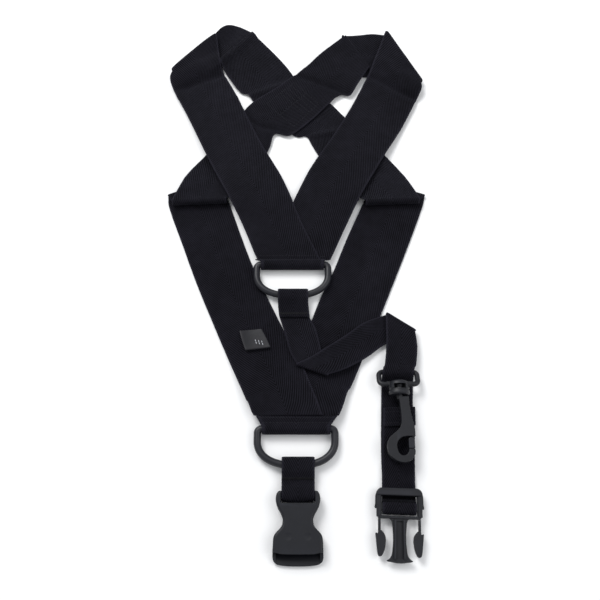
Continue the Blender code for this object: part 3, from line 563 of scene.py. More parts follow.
LEFT_CREASES = (
    (-106.0, 172.0, -69.0, 187.5, 3.4, -2.4, 3.0),
    (-108.0, 186.0, -76.0, 202.0, 8.0, 1.8, 4.0),
    (-100.0, 170.0, -94.0, 178.0, 5.0, -1.4, 3.0),
    (-70.0, 150.0, -92.0, 110.0, 16.0, 0.8, 3.0),
    (-8.0, 179.0, -50.0, 161.5, 3.4, 1.7, 0.5),
    (-45.3, 226.6, -72.0, 197.5, -15.0, 2.4, 0.5),
    (-66.0, 231.0, -74.0, 214.0, 8.0, -1.6, 0.5),
    (20.0, 122.0, 50.0, 128.0, 3.0, 1.4, 0.5),
)
RIGHT_CREASES = (
    (107.5, 161.5, 73.0, 183.5, 3.2, -2.4, 3.0),
    (108.0, 176.0, 80.0, 200.0, 8.0, 1.8, 4.0),
    (6.0, 184.5, 46.0, 166.5, 2.8, -1.5, 2.5),
    (-46.0, 144.0, -42.0, 136.5, 2.4, -1.0, 2.0),
    (-42.0, 136.0, -31.0, 130.0, 2.4, -1.0, 2.0),
    (-31.0, 130.0, -12.0, 124.5, 2.4, -0.9, 2.0),
)
left_strap = strap("left_shoulder_webbing", left_rows, WIDE, WIDE_T, WEB_LEFT, creases=LEFT_CREASES,
                   body="harness", replaces=["left_shoulder_strap"])
right_strap = strap("right_shoulder_webbing", right_rows, WIDE, WIDE_T, WEB_RIGHT, creases=RIGHT_CREASES,
                    body="harness", replaces=["right_shoulder_strap"])


# --- D-rings and keepers ----------------------------------------------------------------------------

def ring_line(bar_x, bar_y, corner=3.4, steps=26):
    """The middle line of a D-ring, anticlockwise from the right end of its straight bar."""
    right = arc((RING_HALF - corner, -corner), corner, 0, 90, 8)
    made = right + [(-x, y) for x, y in reversed(right)]
    for k in range(2 * steps + 1):
        a = math.pi * (1 + k / (2 * steps))
        c, s = math.cos(a), math.sin(a)
        reach = math.copysign(abs(c) ** 0.87, c)
        drop = abs(s) ** 0.87
        made.append((RING_HALF * reach, -RING_LEG - RING_BOW * drop))
    return [Vector((bar_x + x, bar_y + y, RING_Z)) for x, y in made]


def tube_data(name, line, radius, normal, sides=24, ridge=0.10):
    """A closed tube round a flat loop, with the fine parting line of its mould on both sides."""
    mesh = bmesh.new()
    rings = []
    count = len(line)
    for k in range(count):
        tangent = (line[(k + 1) % count] - line[k - 1]).normalized()
        out = tangent.cross(normal).normalized()
        ring = []
        for n in range(sides):
            a = 2 * math.pi * n / sides
            r = radius + (ridge if n in (0, sides // 2) else 0.0)
            around = out * (r * math.cos(a)) + normal * (r * math.sin(a))
            ring.append(mesh.verts.new(spot(line[k] + around)))
        rings.append(ring)
    for k in range(count):
        one, two = rings[k], rings[(k + 1) % count]
        for n in range(sides):
            m = (n + 1) % sides
            mesh.faces.new((one[n], one[m], two[m], two[n]))
    return as_data(name, mesh)


KEEPER_HALF = 26.5
UPPER_FLAP = ((1.6, 26.8, 26.8, 8.65), (2.8, 27.9, 28.6, 8.1), (3.5, 28.9, 31.2, 7.35))
LOWER_FLAP = ((1.6, 26.7, 26.7, 8.65), (3.2, 27.6, 27.8, 8.0), (4.2, 28.4, 28.2, 7.75),
              (5.4, 29.2, 28.8, 8.05), (7.5, 30.6, 30.2, 8.1), (9.4, 32.0, 31.2, 7.75))


def keeper_rows(bar_x, bar_y, flap):
    """Webbing from a lower tail, round the straight bar and over the strap ends; a flap row is
    (distance from the bar, reach to the right, reach to the left, height)."""
    line = [(21.0, WIDE_LOW), (12.0, WIDE_LOW)] + arc((0.0, RING_Z), KEEPER_R, -90, -180)
    path = [(y, KEEPER_HALF, KEEPER_HALF, z) for y, z in line]
    return [pair(bar_x - left, bar_y + y, bar_x + right, bar_y + y, z)
            for y, right, left, z in (*path, *flap)]


KEEPERS = []
for label, (bar_x, bar_y), flap in (("upper", UPPER_BAR, UPPER_FLAP), ("lower", LOWER_BAR, LOWER_FLAP)):
    piece(label + "_ring_moulding",
          tube_data(label + "_ring", ring_line(bar_x, bar_y), RING_STOCK, Vector((0, 0, 1))),
          RING, label + "_ring", [label + "_d_ring"], "ring_plastic", 60)
    rows = keeper_rows(bar_x, bar_y, flap)
    made = strap(label + "_keeper_webbing", rows, 2 * KEEPER_HALF, WIDE_T, WEB_LEFT, gap=1.2, wave=0.0,
                 body="harness", replaces=[label + "_ring_keeper"])
    KEEPERS.append(made)


# --- Adjusting strap --------------------------------------------------------------------------------
bow_y = UPPER_BAR[1] - BOW_Y
LOOP_R = RING_STOCK + 0.6 + 0.7  # stock, gap and half the webbing
loop_x = -2.4


def narrow(x, y, z):
    """A row straight across the narrow webbing, about x."""
    return pair(x - NARROW / 2, y, x + NARROW / 2, y, z)


ring_loop = [narrow(loop_x + 1.4, -56.4, 4.7), narrow(loop_x + 0.8, -51.5, 4.8),
             narrow(loop_x + 0.2, -46.5, 6.3), narrow(loop_x, bow_y - 3.0, RING_Z + LOOP_R - 0.2)]
ring_loop += [narrow(loop_x, y, z) for y, z in arc((bow_y + 1.2, RING_Z), LOOP_R, 90, -180)]
ring_loop += [narrow(loop_x, bow_y - 3.0, RING_Z - LOOP_R), narrow(loop_x + 0.2, -46.5, 1.5),
              narrow(loop_x + 0.6, -50.5, 2.7)]
adjuster = run([
    pair(-14.2, -52.3, 10.8, -52.3, 2.8),
    pair(-13.0, -57.5, 12.2, -58.5, 3.0),
    pair(-9.0, -70.5, 16.6, -67.5, 4.3),
    pair(-5.0, -86.0, 20.2, -83.5, 5.0),
    pair(0.5, -97.0, 26.0, -106.0, 5.6),
], 8)
upper_rows = ring_loop + adjuster[1:]
across = run([
    pair(0.5, -97.0, 26.0, -106.0, 7.4),
    pair(12.0, -91.4, 37.0, -102.6, 7.2),
    pair(27.0, -81.2, 47.6, -97.0, 5.6),
    pair(41.6, -71.0, 58.4, -90.0, 3.4),
    pair(56.0, -60.6, 73.0, -79.4, 2.7),
    pair(73.6, -54.2, 96.8, -69.6, 2.7),
], 8)
hook_run = run([
    pair(73.6, -54.2, 96.8, -69.6, 6.3),
    pair(72.9, -80.0, 97.8, -83.0, 6.6),
    pair(71.0, -97.0, 96.0, -97.5, 7.3),
    pair(69.6, -100.4, 94.6, -100.4, 7.9),
    pair(68.7, -104.4, 93.7, -104.4, 7.7),
    pair(68.5, -106.8, 93.5, -106.8, 6.0),
    pair(68.5, -108.6, 93.5, -108.6, 3.6),
    pair(68.4, -110.4, 93.4, -110.4, 1.6),
    pair(68.2, -113.6, 93.2, -113.6, 0.95),
], 6)
middle_rows = joined([adjuster[-1:], across, hook_run], [(7.4, -0.33, -0.94), (6.3, 0.55, 0.83)])

BUCKLE_X, BUCKLE_Y, BUCKLE_TURN = 77.3, -208.4, math.radians(-2.2)


def at_buckle(x, y):
    """A point of the buckle, given from the middle of its webbing bar, in the drawing frame."""
    c, s = math.cos(BUCKLE_TURN), math.sin(BUCKLE_TURN)
    return BUCKLE_X + x * c - y * s, BUCKLE_Y + x * s + y * c


def buckle_row(y, z):
    """A row across the narrow webbing, square to the buckle."""
    return pair(*at_buckle(-NARROW / 2, y), *at_buckle(NARROW / 2, y), z)


lower_rows = run([hook_run[-1], pair(67.2, -132.0, 92.2, -132.0, 0.9),
                  pair(65.8, -165.0, 90.8, -165.6, 0.9), buckle_row(24.0, 0.9)], 10)
lower_rows.append(buckle_row(10.0, 0.9))

BAR_R = 3.2              # from the buckle's webbing bar to the middle of the webbing
buckle_loop = [buckle_row(y, z) for y, z in (
    (10.0, 0.9), (4.0, 0.9), *arc((-1.4, 0.9 + BAR_R), BAR_R, -90, -180, 14),
    (1.8, 7.3), (3.4, 6.9), (4.4, 5.9), (5.0, 4.6), (5.8, 3.4), (7.2, 2.7), (10.0, 2.6), (14.0, 2.6))]
tail = run([buckle_row(14.0, 2.6), pair(66.6, -165.6, 91.6, -165.0, 2.6),
            pair(68.6, -133.4, 93.6, -132.4, 2.6)], 8)
hem = run([pair(68.6, -133.4, 93.6, -132.4, 4.2), pair(68.2, -147.0, 93.2, -146.0, 4.2)], 4)
tail_rows = joined([buckle_loop + tail[1:], hem], [(4.2, 0.0, 1.0)])

upper_web = strap("adjuster_upper_webbing", upper_rows, NARROW, NARROW_T, WEB_NARROW, gap=1.2, wave=0.3,
                  replaces=["adjuster_ring_loop"], slot="narrow_webbing")
middle_web = strap("adjuster_middle_webbing", middle_rows, NARROW, NARROW_T, WEB_NARROW, gap=1.2, wave=0.3,
                   start=length_of(upper_rows), body="harness", replaces=["adjusting_strap"],
                   slot="narrow_webbing")
lower_web = strap("adjuster_lower_webbing", lower_rows, NARROW, NARROW_T, WEB_NARROW, gap=1.2, wave=0.0,
                  slot="narrow_webbing")
tail_web = strap("buckle_tail_webbing", tail_rows, NARROW, NARROW_T, WEB_TAIL, gap=1.2, wave=0.0,
                 body="buckle", replaces=["buckle_strap_tail"], slot="narrow_webbing")


# --- Tether -----------------------------------------------------------------------------------------
low_bow = LOWER_BAR[1] - BOW_Y
TETHER_X, SOCKET_X, SOCKET_LOOP_R = 2.0, 1.9, 3.7
SLOT_BULGE = 1.1         # how far the middle of the webbing swells into the socket's slot
SOCKET_BAR_Y, SOCKET_BAR_Z = -199.4, 4.7


def tether_row(y, z):
    """A row straight across the tether."""
    return narrow(TETHER_X, y, z)


tether_rows = [tether_row(-186.8, 1.1), tether_row(-182.0, RING_Z - LOOP_R)]
tether_rows += [tether_row(y, z) for y, z in arc((low_bow + 2.0, RING_Z), LOOP_R, -90, 180)]
tether_rows += run([tether_row(-182.0, RING_Z + LOOP_R - 0.6), tether_row(-185.6, 6.4),
                    tether_row(-188.4, 5.2), tether_row(-191.0, 5.6), tether_row(-194.6, 7.7),
                    tether_row(-197.6, 8.4)], 3)
for y, z in arc((SOCKET_BAR_Y, SOCKET_BAR_Z), SOCKET_LOOP_R, 90, 180):
    bulge = SLOT_BULGE * (y - SOCKET_BAR_Y) / SOCKET_LOOP_R
    tether_rows.append((*tether_row(y, z)[:2], Vector((0.0, bulge, 0.0))))
tether_rows += [tether_row(-195.0, 1.0), tether_row(-188.0, 1.0)]
tether_web = strap("tether_webbing", tether_rows, NARROW, NARROW_T, WEB_NARROW, gap=1.2, wave=0.0,
                   body="tether", replaces=["buckle_tether"], slot="narrow_webbing")


# --- Moulded pieces ---------------------------------------------------------------------------------

def curve_round(outline, steps=4):
    """A closed outline made smooth through its points; a point given twice stays a corner."""
    made = []
    count = len(outline)
    for k in range(count):
        p = [Vector(outline[(k + d) % count]) for d in (-1, 0, 1, 2)]
        if (p[1] - p[2]).length < 1e-6:
            continue
        for step in range(steps):
            t = step / steps
            made.append(0.5 * (2 * p[1] + (p[2] - p[0]) * t + (2 * p[0] - 5 * p[1] + 4 * p[2] - p[3]) * t * t
                               + (3 * p[1] - p[0] - 3 * p[2] + p[3]) * t ** 3))
    return [(v.x, v.y) for v in made]


def corners(outline, radius, steps=5):
    """A closed outline of straight sides with its corners rounded; radius may differ by corner."""
    made = []
    count = len(outline)
    for k in range(count):
        r = radius[k] if isinstance(radius, (list, tuple)) else radius
        here, before, after = (Vector(outline[(k + d) % count]) for d in (0, -1, 1))
        one, two = (before - here), (after - here)
        reach = min(r, 0.48 * one.length, 0.48 * two.length)
        a, b = here + one.normalized() * reach, here + two.normalized() * reach
        for step in range(steps + 1):
            t = step / steps
            made.append(a * (1 - t) ** 2 + here * (2 * t * (1 - t)) + b * t * t)
    return [(v.x, v.y) for v in made]


def slab(name, outline, low, top, bevel=0.0, turn=None, segments=4):
    """A flat outline given a thickness, its edges rounded by bevel."""
    mesh = bmesh.new()
    floor = [mesh.verts.new(Vector((x, y, low))) for x, y in outline]
    face = mesh.faces.new(floor)
    lifted = bmesh.ops.extrude_face_region(mesh, geom=[face])["geom"]
    lifted = [v for v in lifted if isinstance(v, bmesh.types.BMVert)]
    bmesh.ops.translate(mesh, verts=lifted, vec=(0, 0, top - low))
    if bevel:
        edges = [e for e in mesh.edges if abs(e.verts[0].co.z - e.verts[1].co.z) < 1e-5]
        bmesh.ops.bevel(mesh, geom=edges, offset=bevel, segments=segments, affect="EDGES", profile=0.5,
                        clamp_overlap=True)
    if turn is not None:
        bmesh.ops.transform(mesh, matrix=turn, verts=mesh.verts)
    return from_mesh(name, mesh)


def from_mesh(name, mesh):
    """Mesh data from a bmesh drawn in the drawing frame."""
    for vertex in mesh.verts:
        vertex.co = spot(vertex.co)
    return as_data(name, mesh)


def turned(name, profile, centre, wide=1.0, segments=40):
    """A round piece about an axis along Y, from (y, radius) points; centre is the axis's (x, z), and
    wide stretches it across."""
    mesh = bmesh.new()
    rings = []
    for y, r in profile:
        rings.append([mesh.verts.new(Vector((centre[0] + wide * r * math.cos(2 * math.pi * k / segments), y,
                                             centre[1] + r * math.sin(2 * math.pi * k / segments))))
                      for k in range(segments)])
    for one, two in zip(rings, rings[1:]):
        for k in range(segments):
            n = (k + 1) % segments
            mesh.faces.new((one[k], one[n], two[n], two[k]))
    mesh.faces.new(rings[0])
    mesh.faces.new(rings[-1])
    return from_mesh(name, mesh)


def shaped(name, base, joins=(), cuts=(), soften=0.0):
    """The mesh left when others are joined to base and cut out of it."""
    body = bpy.data.objects.new(name, base)
    SCENE.collection.objects.link(body)
    helpers = []
    for others, how in ((joins, "UNION"), (cuts, "DIFFERENCE")):
        for data in others:
            other = bpy.data.objects.new(name + "_helper", data)
            SCENE.collection.objects.link(other)
            helpers.append(other)
            made = body.modifiers.new(how, "BOOLEAN")
            made.object, made.operation, made.solver = other, how, "EXACT"
    if soften:
        made = body.modifiers.new("soften", "BEVEL")
        made.width, made.segments, made.limit_method = soften * MM, 2, "ANGLE"
        made.angle_limit, made.harden_normals = math.radians(50), False
        made.use_clamp_overlap = True
    bpy.context.view_layer.update()
    graph = bpy.context.evaluated_depsgraph_get()
    data = bpy.data.meshes.new_from_object(body.evaluated_get(graph))
    data.name = name
    for thing in helpers + [body]:
        bpy.data.objects.remove(thing, do_unlink=True)
    return data


def block(x0, x1, y0, y1):
    """The outline of a rectangle."""
    return [(x0, y0), (x1, y0), (x1, y1), (x0, y1)]


def at_socket(half, y0, y1):
    """A rectangle that reaches half to each side of the socket's middle."""
    return block(SOCKET_X - half, SOCKET_X + half, y0, y1)


def ball(name, x, y, z, radius):
    """A fine sphere, for a shallow round dimple."""
    mesh = bmesh.new()
    bmesh.ops.create_uvsphere(mesh, u_segments=40, v_segments=80, radius=radius)
    bmesh.ops.translate(mesh, verts=mesh.verts, vec=(x, y, z))
    return from_mesh(name, mesh)


# Socket of the side-release buckle
half_outline = [
    (5.0, -196.2), (13.0, -196.3), (15.4, -197.6), (16.4, -200.1), (16.6, -203.1), (16.1, -206.0),
    (15.0, -208.9), (13.6, -211.3), (12.1, -214.2), (11.2, -217.4), (11.8, -221.2), (13.4, -223.6),
    (15.7, -225.9), (17.5, -228.4), (18.2, -231.4), (18.4, -235.5), (18.6, -239.9), (18.6, -243.4),
    (17.8, -246.3), (15.4, -248.2), (11.5, -249.1), (5.0, -249.6),
]
socket_outline = [(SOCKET_X + x, y) for x, y in half_outline]
socket_outline += [(SOCKET_X - x, y) for x, y in reversed(half_outline)]
socket_base = slab("socket", curve_round(socket_outline, 3), 0.3, 10.5, 2.0, segments=5)


socket_data = shaped("buckle_socket_moulding", socket_base, cuts=[
    slab("webbing_slot", corners(at_socket(13.0, -205.5, -201.2), 0.8), -1, 12),
    slab("bar_top_relief", at_socket(13.0, -204, -190), 6.3, 12),
    slab("bar_low_relief", at_socket(13.0, -204, -190), -1, 3.1),
    slab("mouth", at_socket(16.2, -256, -225.5), 2.4, 8.2),
    slab("throat", at_socket(9.6, -230, -212.5), 2.4, 8.2),
    slab("side_windows", at_socket(22, -226.5, -213.5), 2.41, 8.19),
    slab("lower_lip", curve_round([(SOCKET_X + x, y) for x, y in (
        (-24, -262), (24, -262), (24, -241.0), (12, -241.5), (0, -241.7), (-12, -241.5), (-24, -241.0))],
        3), 3.4, 13),
    slab("lip_scoop", block(-16.2, 16.2, -7.6, 0), 0, 3.0, 0,
         Matrix.Translation((SOCKET_X, -241.3, 0.9)) @ Matrix.Rotation(math.radians(-19), 4, "X")),
    ball("left_dimple", SOCKET_X - 7.2, -229.4, 32.26, 22.0),
    ball("right_dimple", SOCKET_X + 7.2, -229.4, 32.26, 22.0),
], soften=0.25)
piece("buckle_socket_moulding", socket_data, DARK_PLASTIC, "socket", ["buckle_socket"], "black_plastic")

# Frame of the side-release buckle, with its webbing bar, guide and two prongs
TO_BUCKLE = (Matrix.Translation(Vector((BUCKLE_X, BUCKLE_Y, 0)))
             @ Matrix.Rotation(BUCKLE_TURN, 4, "Z"))
FRAME_LOW, FRAME_TOP = 3.7, 6.1
frame_half = [
    (5.0, 12.6), (12.0, 12.6), (16.2, 12.0), (17.6, 9.4), (17.9, 6.0), (18.0, 2.6), (18.4, 0.4),
    (18.1, -0.8), (16.6, -1.0), (16.3, -3.3), (15.8, -6.6), (14.0, -7.9), (8.0, -8.0), (5.9, -9.6),
    (5.2, -13.6), (4.8, -19.0), (4.75, -24.0), (5.2, -29.3), (5.7, -33.1), (6.9, -35.5),
    (8.4, -36.8), (9.6, -37.5), (8.4, -38.3), (5.5, -38.7), (2.2, -39.2),
]
frame_outline = frame_half + [(-x, y) for x, y in reversed(frame_half)]
frame_base = slab("frame", curve_round(frame_outline, 3)[::-1], FRAME_LOW, FRAME_TOP, 0.9, TO_BUCKLE)
top_bar = slab("top_bar", corners([(-17.4, 8.4), (17.4, 8.4), (17.2, 11.4), (14.6, 14.2), (-14.6, 14.2),
                                   (-17.2, 11.4)], 1.9), 3.0, 7.9, 1.9, TO_BUCKLE)
web_bar = slab("web_bar", corners(block(-15.5, 15.5, -1.9, 2.4), 0.4), 3.2, 6.4, 0.9, TO_BUCKLE)
low_bar = slab("low_bar", corners(block(-15.9, 15.9, -8.1, -6.1), 0.6), 3.1, 6.9, 0.8, TO_BUCKLE)
rails = [slab("rail", corners(block(x - 1.6, x + 1.6, -6.9, 9.6), 0.8), 3.2, 7.2, 1.1, TO_BUCKLE)
         for x in (-15.4, 15.4)]
ribs = [slab("rib", corners([(x0 - 0.75, -9.0), (x0 + 0.75, -9.0), (x0 + 0.7, -20), (x1 + 0.75, -36.6),
                             (x1 - 0.75, -36.6), (x0 - 0.7, -20)], 0.3), 5.0, 7.9, 0.5, TO_BUCKLE)
        for x0, x1 in ((-3.3, -3.6), (3.3, 3.6))]
frame_joins = [top_bar, web_bar, low_bar] + rails + ribs
frame_data = shaped("buckle_frame_moulding", frame_base, joins=frame_joins, cuts=[
    slab("upper_slot", corners(block(-13.2, 13.2, 3.0, 8.5), 0.9), 0, 12, 0, TO_BUCKLE),
    slab("lower_slot", corners(block(-13.2, 13.2, -6.0, -2.5), 0.9), 0, 12, 0, TO_BUCKLE),
    slab("channel", corners([(-2.2, -9.6), (2.2, -9.6), (2.7, -36.2), (-2.7, -36.2)], 0.5), 4.9, 12, 0,
         TO_BUCKLE),
])
piece("buckle_frame_moulding", frame_data, PLASTIC, "buckle", ["buckle_frame"], "black_plastic")

ARM = [(15.8, -8.4), (15.75, -18.0), (13.9, -18.0), (13.9, -8.4)]
HEAD = [(15.8, -17.9), (15.9, -18.9), (17.4, -18.5), (17.7, -19.4), (17.3, -23.0), (16.9, -27.0),
        (16.4, -31.4), (15.7, -34.2), (14.4, -35.0), (13.0, -34.3), (11.8, -32.0), (10.9, -29.3),
        (10.4, -25.8), (10.2, -22.7), (10.8, -20.0), (12.2, -17.9), (13.6, -16.6), (15.0, -16.6)]
for side, sign in (("left", -1), ("right", 1)):
    arm = slab("arm", corners([(sign * x, y) for x, y in ARM], 0.2), 3.5, 6.3, 0.4, TO_BUCKLE)
    head = slab("head", curve_round([(sign * x, y) for x, y in HEAD], 3), 3.1, 6.9, 1.1, TO_BUCKLE)
    data = shaped(side + "_prong_moulding", head, joins=[arm])
    piece(side + "_prong_moulding", data, PLASTIC, "prong_" + side, [side + "_prong"], "black_plastic")

# Snap hook: eye with its collar, swivel pin, body and gate
HOOK_X, HOOK_Z = 81.0, 9.9
EYE_TOP_Y, EYE_LOW_Y, EYE_TOP_Z, EYE_LOW_Z = -103.4, -114.6, 4.5, 9.4
EYE_HALF, EYE_STOCK, EYE_CORNER = 15.2, 2.0, 3.4
eye_line = []
for side, cy, start in ((1, EYE_TOP_Y - EYE_CORNER, 0), (-1, EYE_TOP_Y - EYE_CORNER, 90),
                        (-1, EYE_LOW_Y + EYE_CORNER, 180), (1, EYE_LOW_Y + EYE_CORNER, 270)):
    cx = HOOK_X + side * (EYE_HALF - EYE_CORNER)
    for x, y in arc((cx, cy), EYE_CORNER, start, 90, 10):
        share = (EYE_TOP_Y - y) / (EYE_TOP_Y - EYE_LOW_Y)
        eye_line.append(Vector((x, y, EYE_TOP_Z + (EYE_LOW_Z - EYE_TOP_Z) * share)))
eye_normal = Vector((0, EYE_LOW_Z - EYE_TOP_Z, EYE_TOP_Y - EYE_LOW_Y)).normalized()
eye_data = tube_data("eye", eye_line, EYE_STOCK, eye_normal, ridge=0.0)
collar = turned("collar", [
    (-112.2, 4.6), (-112.8, 5.6), (-113.8, 6.2), (-118.6, 6.7), (-119.3, 6.3), (-120.0, 6.4),
    (-120.8, 6.9), (-122.6, 6.9), (-123.6, 6.0)], (HOOK_X, HOOK_Z), 1.19)
bridge = slab("bridge", corners([(HOOK_X - 10.5, -112.9), (HOOK_X - 6.0, -118.6), (HOOK_X + 6.0, -118.6),
                                 (HOOK_X + 10.5, -112.9)], 1.5), 7.4, 11.6, 1.4)
eye_data = shaped("hook_eye_moulding", eye_data, joins=[collar, bridge], cuts=[
    turned("bore", [(-114.8, 3.9), (-120.4, 3.9), (-120.5, 2.6), (-128.0, 2.6)], (HOOK_X, HOOK_Z)),
    slab("window", corners(block(HOOK_X - 4.6, HOOK_X + 4.6, -119.2, -115.4), 0.6), HOOK_Z + 1.5, 20),
])
piece("hook_eye_moulding", eye_data, PLASTIC, "eye", ["hook_eye"], "black_plastic")
pin = turned("pin", [
    (-115.4, 2.9), (-115.7, 3.4), (-116.9, 3.4), (-117.1, 2.7), (-117.7, 2.7), (-117.9, 3.4),
    (-120.0, 3.4), (-120.2, 2.3), (-127.0, 2.3)], (HOOK_X, HOOK_Z))
piece("swivel_pin_moulding", pin, PLASTIC, "hook", ["swivel_pin"], "black_plastic")

HOOK_OUTLINE = [
    (80.0, -125.4), (80.0, -125.4), (80.3, -127.2), (80.8, -130.6), (81.2, -137.0),
    (81.4, -143.7), (80.8, -147.6), (79.4, -150.4), (76.7, -153.0), (73.5, -155.6),
    (71.4, -157.8), (70.2, -160.4), (69.8, -163.4), (70.1, -166.9), (71.2, -170.0),
    (73.6, -172.9), (77.2, -175.2), (81.0, -176.2), (84.9, -175.7), (88.2, -173.6),
    (90.2, -170.6), (90.7, -168.0), (90.5, -166.0), (90.5, -166.0), (86.2, -166.0),
    (86.2, -166.0), (85.6, -168.2), (84.4, -170.0), (82.2, -171.0), (79.7, -170.5),
    (77.8, -168.2), (77.0, -164.6), (77.3, -161.2), (79.2, -158.4), (82.0, -156.8),
    (85.2, -156.3), (85.2, -156.3), (91.2, -156.3), (91.2, -156.3), (91.3, -153.0),
    (91.0, -149.2), (90.1, -145.0), (89.1, -140.6), (88.3, -135.6), (87.8, -130.0),
    (87.8, -125.4), (87.8, -125.4),
]
hook_base = slab("hook", curve_round(HOOK_OUTLINE, 3), HOOK_Z - 3.5, HOOK_Z + 3.5, 1.7, segments=5)
piece("hook_body_moulding", hook_base, PLASTIC, "hook", ["hook_body"], "black_plastic")

GATE_PIVOT, GATE_R = (88.3, -159.2), 2.4
gate_outline = arc(GATE_PIVOT, GATE_R, 0, 180, 12)
gate_outline += [(86.0, -165.2), (86.4, -165.6), (90.4, -165.6), (90.7, -165.2)]
gate = slab("hook_gate_moulding", gate_outline, HOOK_Z - 2.6, HOOK_Z + 2.6, 0.7)
piece("hook_gate_moulding", gate, PLASTIC, "gate", ["hook_gate"], "black_plastic")


# --- Label ------------------------------------------------------------------------------------------
label_rows = run([pair(-45.8, -68.6, -28.0, -66.9, 3.1), pair(-43.4, -77.0, -23.8, -75.0, 3.4),
                  pair(-40.6, -84.9, -20.6, -82.4, 4.2)], 8)
label_back = run([pair(-40.6, -84.9, -20.6, -82.4, 5.2), pair(-43.4, -77.0, -23.8, -75.0, 4.7),
                  pair(-45.8, -68.6, -28.0, -66.9, 4.1)], 8)
tag_rows = joined([label_rows, label_back], [(5.2, 0.3, -0.95, 10)])
tag = strap("size_label_tag", tag_rows, 19.0, 0.45, SATIN, gap=0.8, wave=0.5, body="harness",
            replaces=["size_label"], slot="satin_label", cup=0.5)


# --- Stitching --------------------------------------------------------------------------------------

ABOVE_ALL = 60.0         # a height from which every surface is looked down on
SINK = 0.12              # how far the ends of a stitch lie in the cloth


def surface_of(*pieces):
    """A search tree of the pieces' surfaces, to lay stitches on."""
    points, faces = [], []
    for made in pieces:
        start = len(points)
        points += [v.co.copy() for v in made.data.vertices]
        faces += [[start + i for i in p.vertices] for p in made.data.polygons]
    return BVHTree.FromPolygons(points, faces)


def on_surface(tree, x, y):
    """(point, normal) of the topmost surface under a drawing point, in metres."""
    found = tree.ray_cast(spot((x, y, ABOVE_ALL)), Vector((0, 0, -1)))
    return found[:2] if found[0] is not None else None


def stitches(name, lines, tree, surface, pitch=2.6, long=2.0, radius=0.26, lift=0.10, body=None,
             replaces=(), slot="black_thread"):
    """Rows of lock stitches: short rounded lengths of thread, dipping into the cloth at both ends."""
    mesh = bmesh.new()
    for line in lines:
        line = [Vector(p) for p in line]
        total = sum((b - a).length for a, b in zip(line, line[1:]))
        count = max(1, int(total / pitch))
        for k in range(count):
            ends = []
            for share in (k + 0.5 - 0.5 * long / pitch, k + 0.5 + 0.5 * long / pitch):
                left = share / count * total
                for a, b in zip(line, line[1:]):
                    if left <= (b - a).length or b is line[-1]:
                        ends.append(a.lerp(b, min(1.0, max(0.0, left / (b - a).length))))
                        break
                    left -= (b - a).length
            found = [on_surface(tree, p.x, p.y) for p in ends]
            if None in found:
                continue
            (p0, n0), (p1, n1) = found
            up = (n0 + n1).normalized()
            if up.z < 0:
                up = -up
            way = (p1 - p0)
            if way.length < 1e-5 or way.length > 0.004:
                continue
            side = way.cross(up).normalized()
            rings = []
            for n in range(7):
                t = n / 6
                swell = math.sqrt(max(0.0, 1 - (2 * t - 1) ** 4))
                centre = p0.lerp(p1, t) + up * ((lift * math.sin(math.pi * t) - SINK) * MM)
                r = max(0.06, radius * swell) * MM
                rings.append([mesh.verts.new(centre + (side * math.cos(a) + up * math.sin(a)) * r)
                              for a in (2 * math.pi * m / 8 for m in range(8))])
            for one, two in zip(rings, rings[1:]):
                for m in range(8):
                    mesh.faces.new((one[m], one[(m + 1) % 8], two[(m + 1) % 8], two[m]))
            mesh.faces.new(rings[0])
            mesh.faces.new(rings[-1])
    return piece(name, as_data(name, mesh), surface, body, replaces, slot, 80)


back = surface_of(left_strap, right_strap)
middle = Vector((-2.3, 154.4))
tips = [middle + Vector(step) for step in ((0, 24), (23, 0), (0, -25), (-25, 0))]
patch_lines = [[tips[k - 4], tips[k - 3]] for k in range(4)]
patch_lines += [[tips[0].lerp(tips[1], 0.5), tips[2].lerp(tips[3], 0.5)],
                [tips[1].lerp(tips[2], 0.5), tips[3].lerp(tips[0], 0.5)]]
for share in (0.12, 0.25, 0.38):
    patch_lines.append([tips[0].lerp(tips[3], share), tips[1].lerp(tips[2], share)])
stitches("cross_patch_stitches", patch_lines, back, THREAD, body="harness",
         replaces=["cross_patch_stitching"])
bands = surface_of(left_strap, right_strap, *KEEPERS)
for label, lines in (
        ("upper", [[(-28.5, -6.3), (23.0, -6.3)], [(-31.0, -2.6), (25.0, -2.6)]]),
        ("lower", [[(-26.5, -144.9), (28.0, -144.9)], [(-29.0, -141.0), (31.0, -141.0)]])):
    stitches(label + "_seam_stitches", lines, bands, THREAD, body="harness", replaces=[label + "_seam"])


def zigzag(x0, x1, y, tall, pitch):
    """The path of a bartack: a dense zigzag between two edges."""
    count = round((x1 - x0) / pitch)
    return [(x0 + (x1 - x0) * k / count, y + (tall / 2 if k % 2 else -tall / 2)) for k in range(count + 1)]


def bartack(name, x0, x1, y, tree, tall=2.6, **extra):
    """A bartack's stitches, one to each stroke of its zigzag."""
    path = zigzag(x0, x1, y, tall, 0.55)
    return stitches(name, [[a, b] for a, b in zip(path, path[1:])], tree, DULL_THREAD, pitch=2.7,
                    long=2.6, radius=0.24, lift=0.12, **extra)


loop_tree = surface_of(upper_web)
tack = bartack("adjuster_bartack_stitches", -13.4, 9.6, -53.6, loop_tree, replaces=["adjuster_bartack"])
for made in (upper_web, tack):
    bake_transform(made)
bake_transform(lower_web)

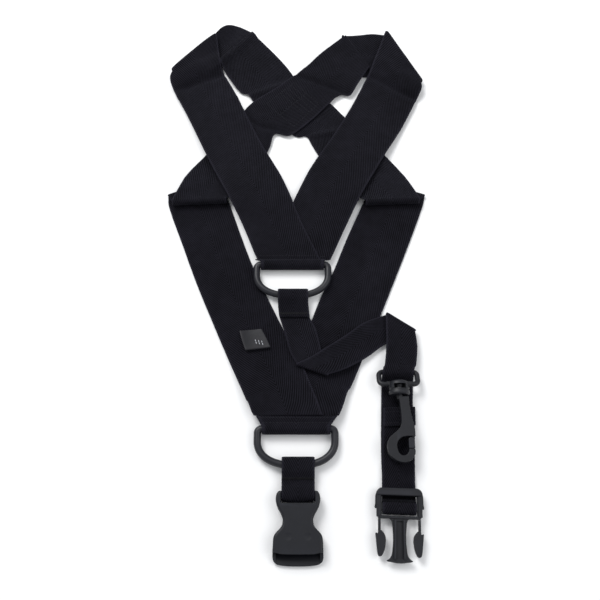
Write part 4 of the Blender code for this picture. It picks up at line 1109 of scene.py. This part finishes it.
tether_tree = surface_of(tether_web)
bartack("tether_bartack_stitches", -9.8, 13.8, -187.2, tether_tree, body="tether",
        replaces=["tether_bartack"])
tail_tree = surface_of(tail_web)
stitches("tail_hem_stitches", [[(70.0, -144.6), (92.0, -143.6)], [(70.0, -135.8), (92.0, -134.8)]],
         tail_tree, THREAD, body="buckle")
label_tree = surface_of(tag)
mark = [[(-33.0 + d, -76.0 - 0.2 * d), (-31.6 + d, -80.0 - 0.2 * d)] for d in (0.0, 2.6, 5.2)]
stitches("label_woven_mark", mark, label_tree, PALE_THREAD, pitch=2.0, long=1.9, radius=0.28, lift=0.08,
         body="harness")


# --- Floor, light and camera ------------------------------------------------------------------------

def plain(name, colour, roughness):
    """A nearly even matte surface."""
    made = Finish(name)
    cloud = made.noise(made.place(), 1.6, 2.0)
    shade = made.mix(cloud, colour, tuple(c * 0.985 for c in colour))
    return made.finish(shade, roughness, Specular_IOR_Level=0.2)


mesh = bmesh.new()
bmesh.ops.create_grid(mesh, x_segments=2, y_segments=2, size=4.0)
bmesh.ops.translate(mesh, verts=mesh.verts, vec=(0, 0, -0.0002))
data = bpy.data.meshes.new("studio_floor")
mesh.to_mesh(data)
mesh.free()
floor = bpy.data.objects.new("studio_floor", data)
data.materials.append(plain("pale_floor", (0.97, 0.97, 0.97), 0.7))
SCENE.collection.objects.link(floor)

world = bpy.data.worlds.new("studio")
SCENE.world = world
world.use_nodes = True
world.node_tree.nodes["Background"].inputs["Color"].default_value = (0.95, 0.97, 1.0, 1.0)
world.node_tree.nodes["Background"].inputs["Strength"].default_value = 0.58


def softbox(name, place, aim, size, power):
    """A square area light that faces aim."""
    light = bpy.data.lights.new(name, "AREA")
    light.shape, light.size, light.energy = "SQUARE", size, power
    made = bpy.data.objects.new(name, light)
    SCENE.collection.objects.link(made)
    made.location = place
    made.rotation_mode = "QUATERNION"
    made.rotation_quaternion = (Vector(aim) - Vector(place)).to_track_quat("-Z", "Y")
    return made


softbox("key_light", (-0.55, 0.75, 1.15), (0, 0, 0), 0.7, 15.0)
softbox("fill_light", (0.85, -0.15, 1.05), (0, 0, 0), 0.8, 4.0)

lens = bpy.data.cameras.new("camera")
lens.sensor_width, lens.lens = 36.0, 45.72
lens.clip_start, lens.clip_end = 0.01, 50.0
camera = bpy.data.objects.new("camera", lens)
SCENE.collection.objects.link(camera)
camera.location = (0.00305, -0.2772, 0.5888)
camera.rotation_euler = (math.radians(22.0), 0, 0)
SCENE.camera = camera
SCENE.view_settings.view_transform = "Standard"
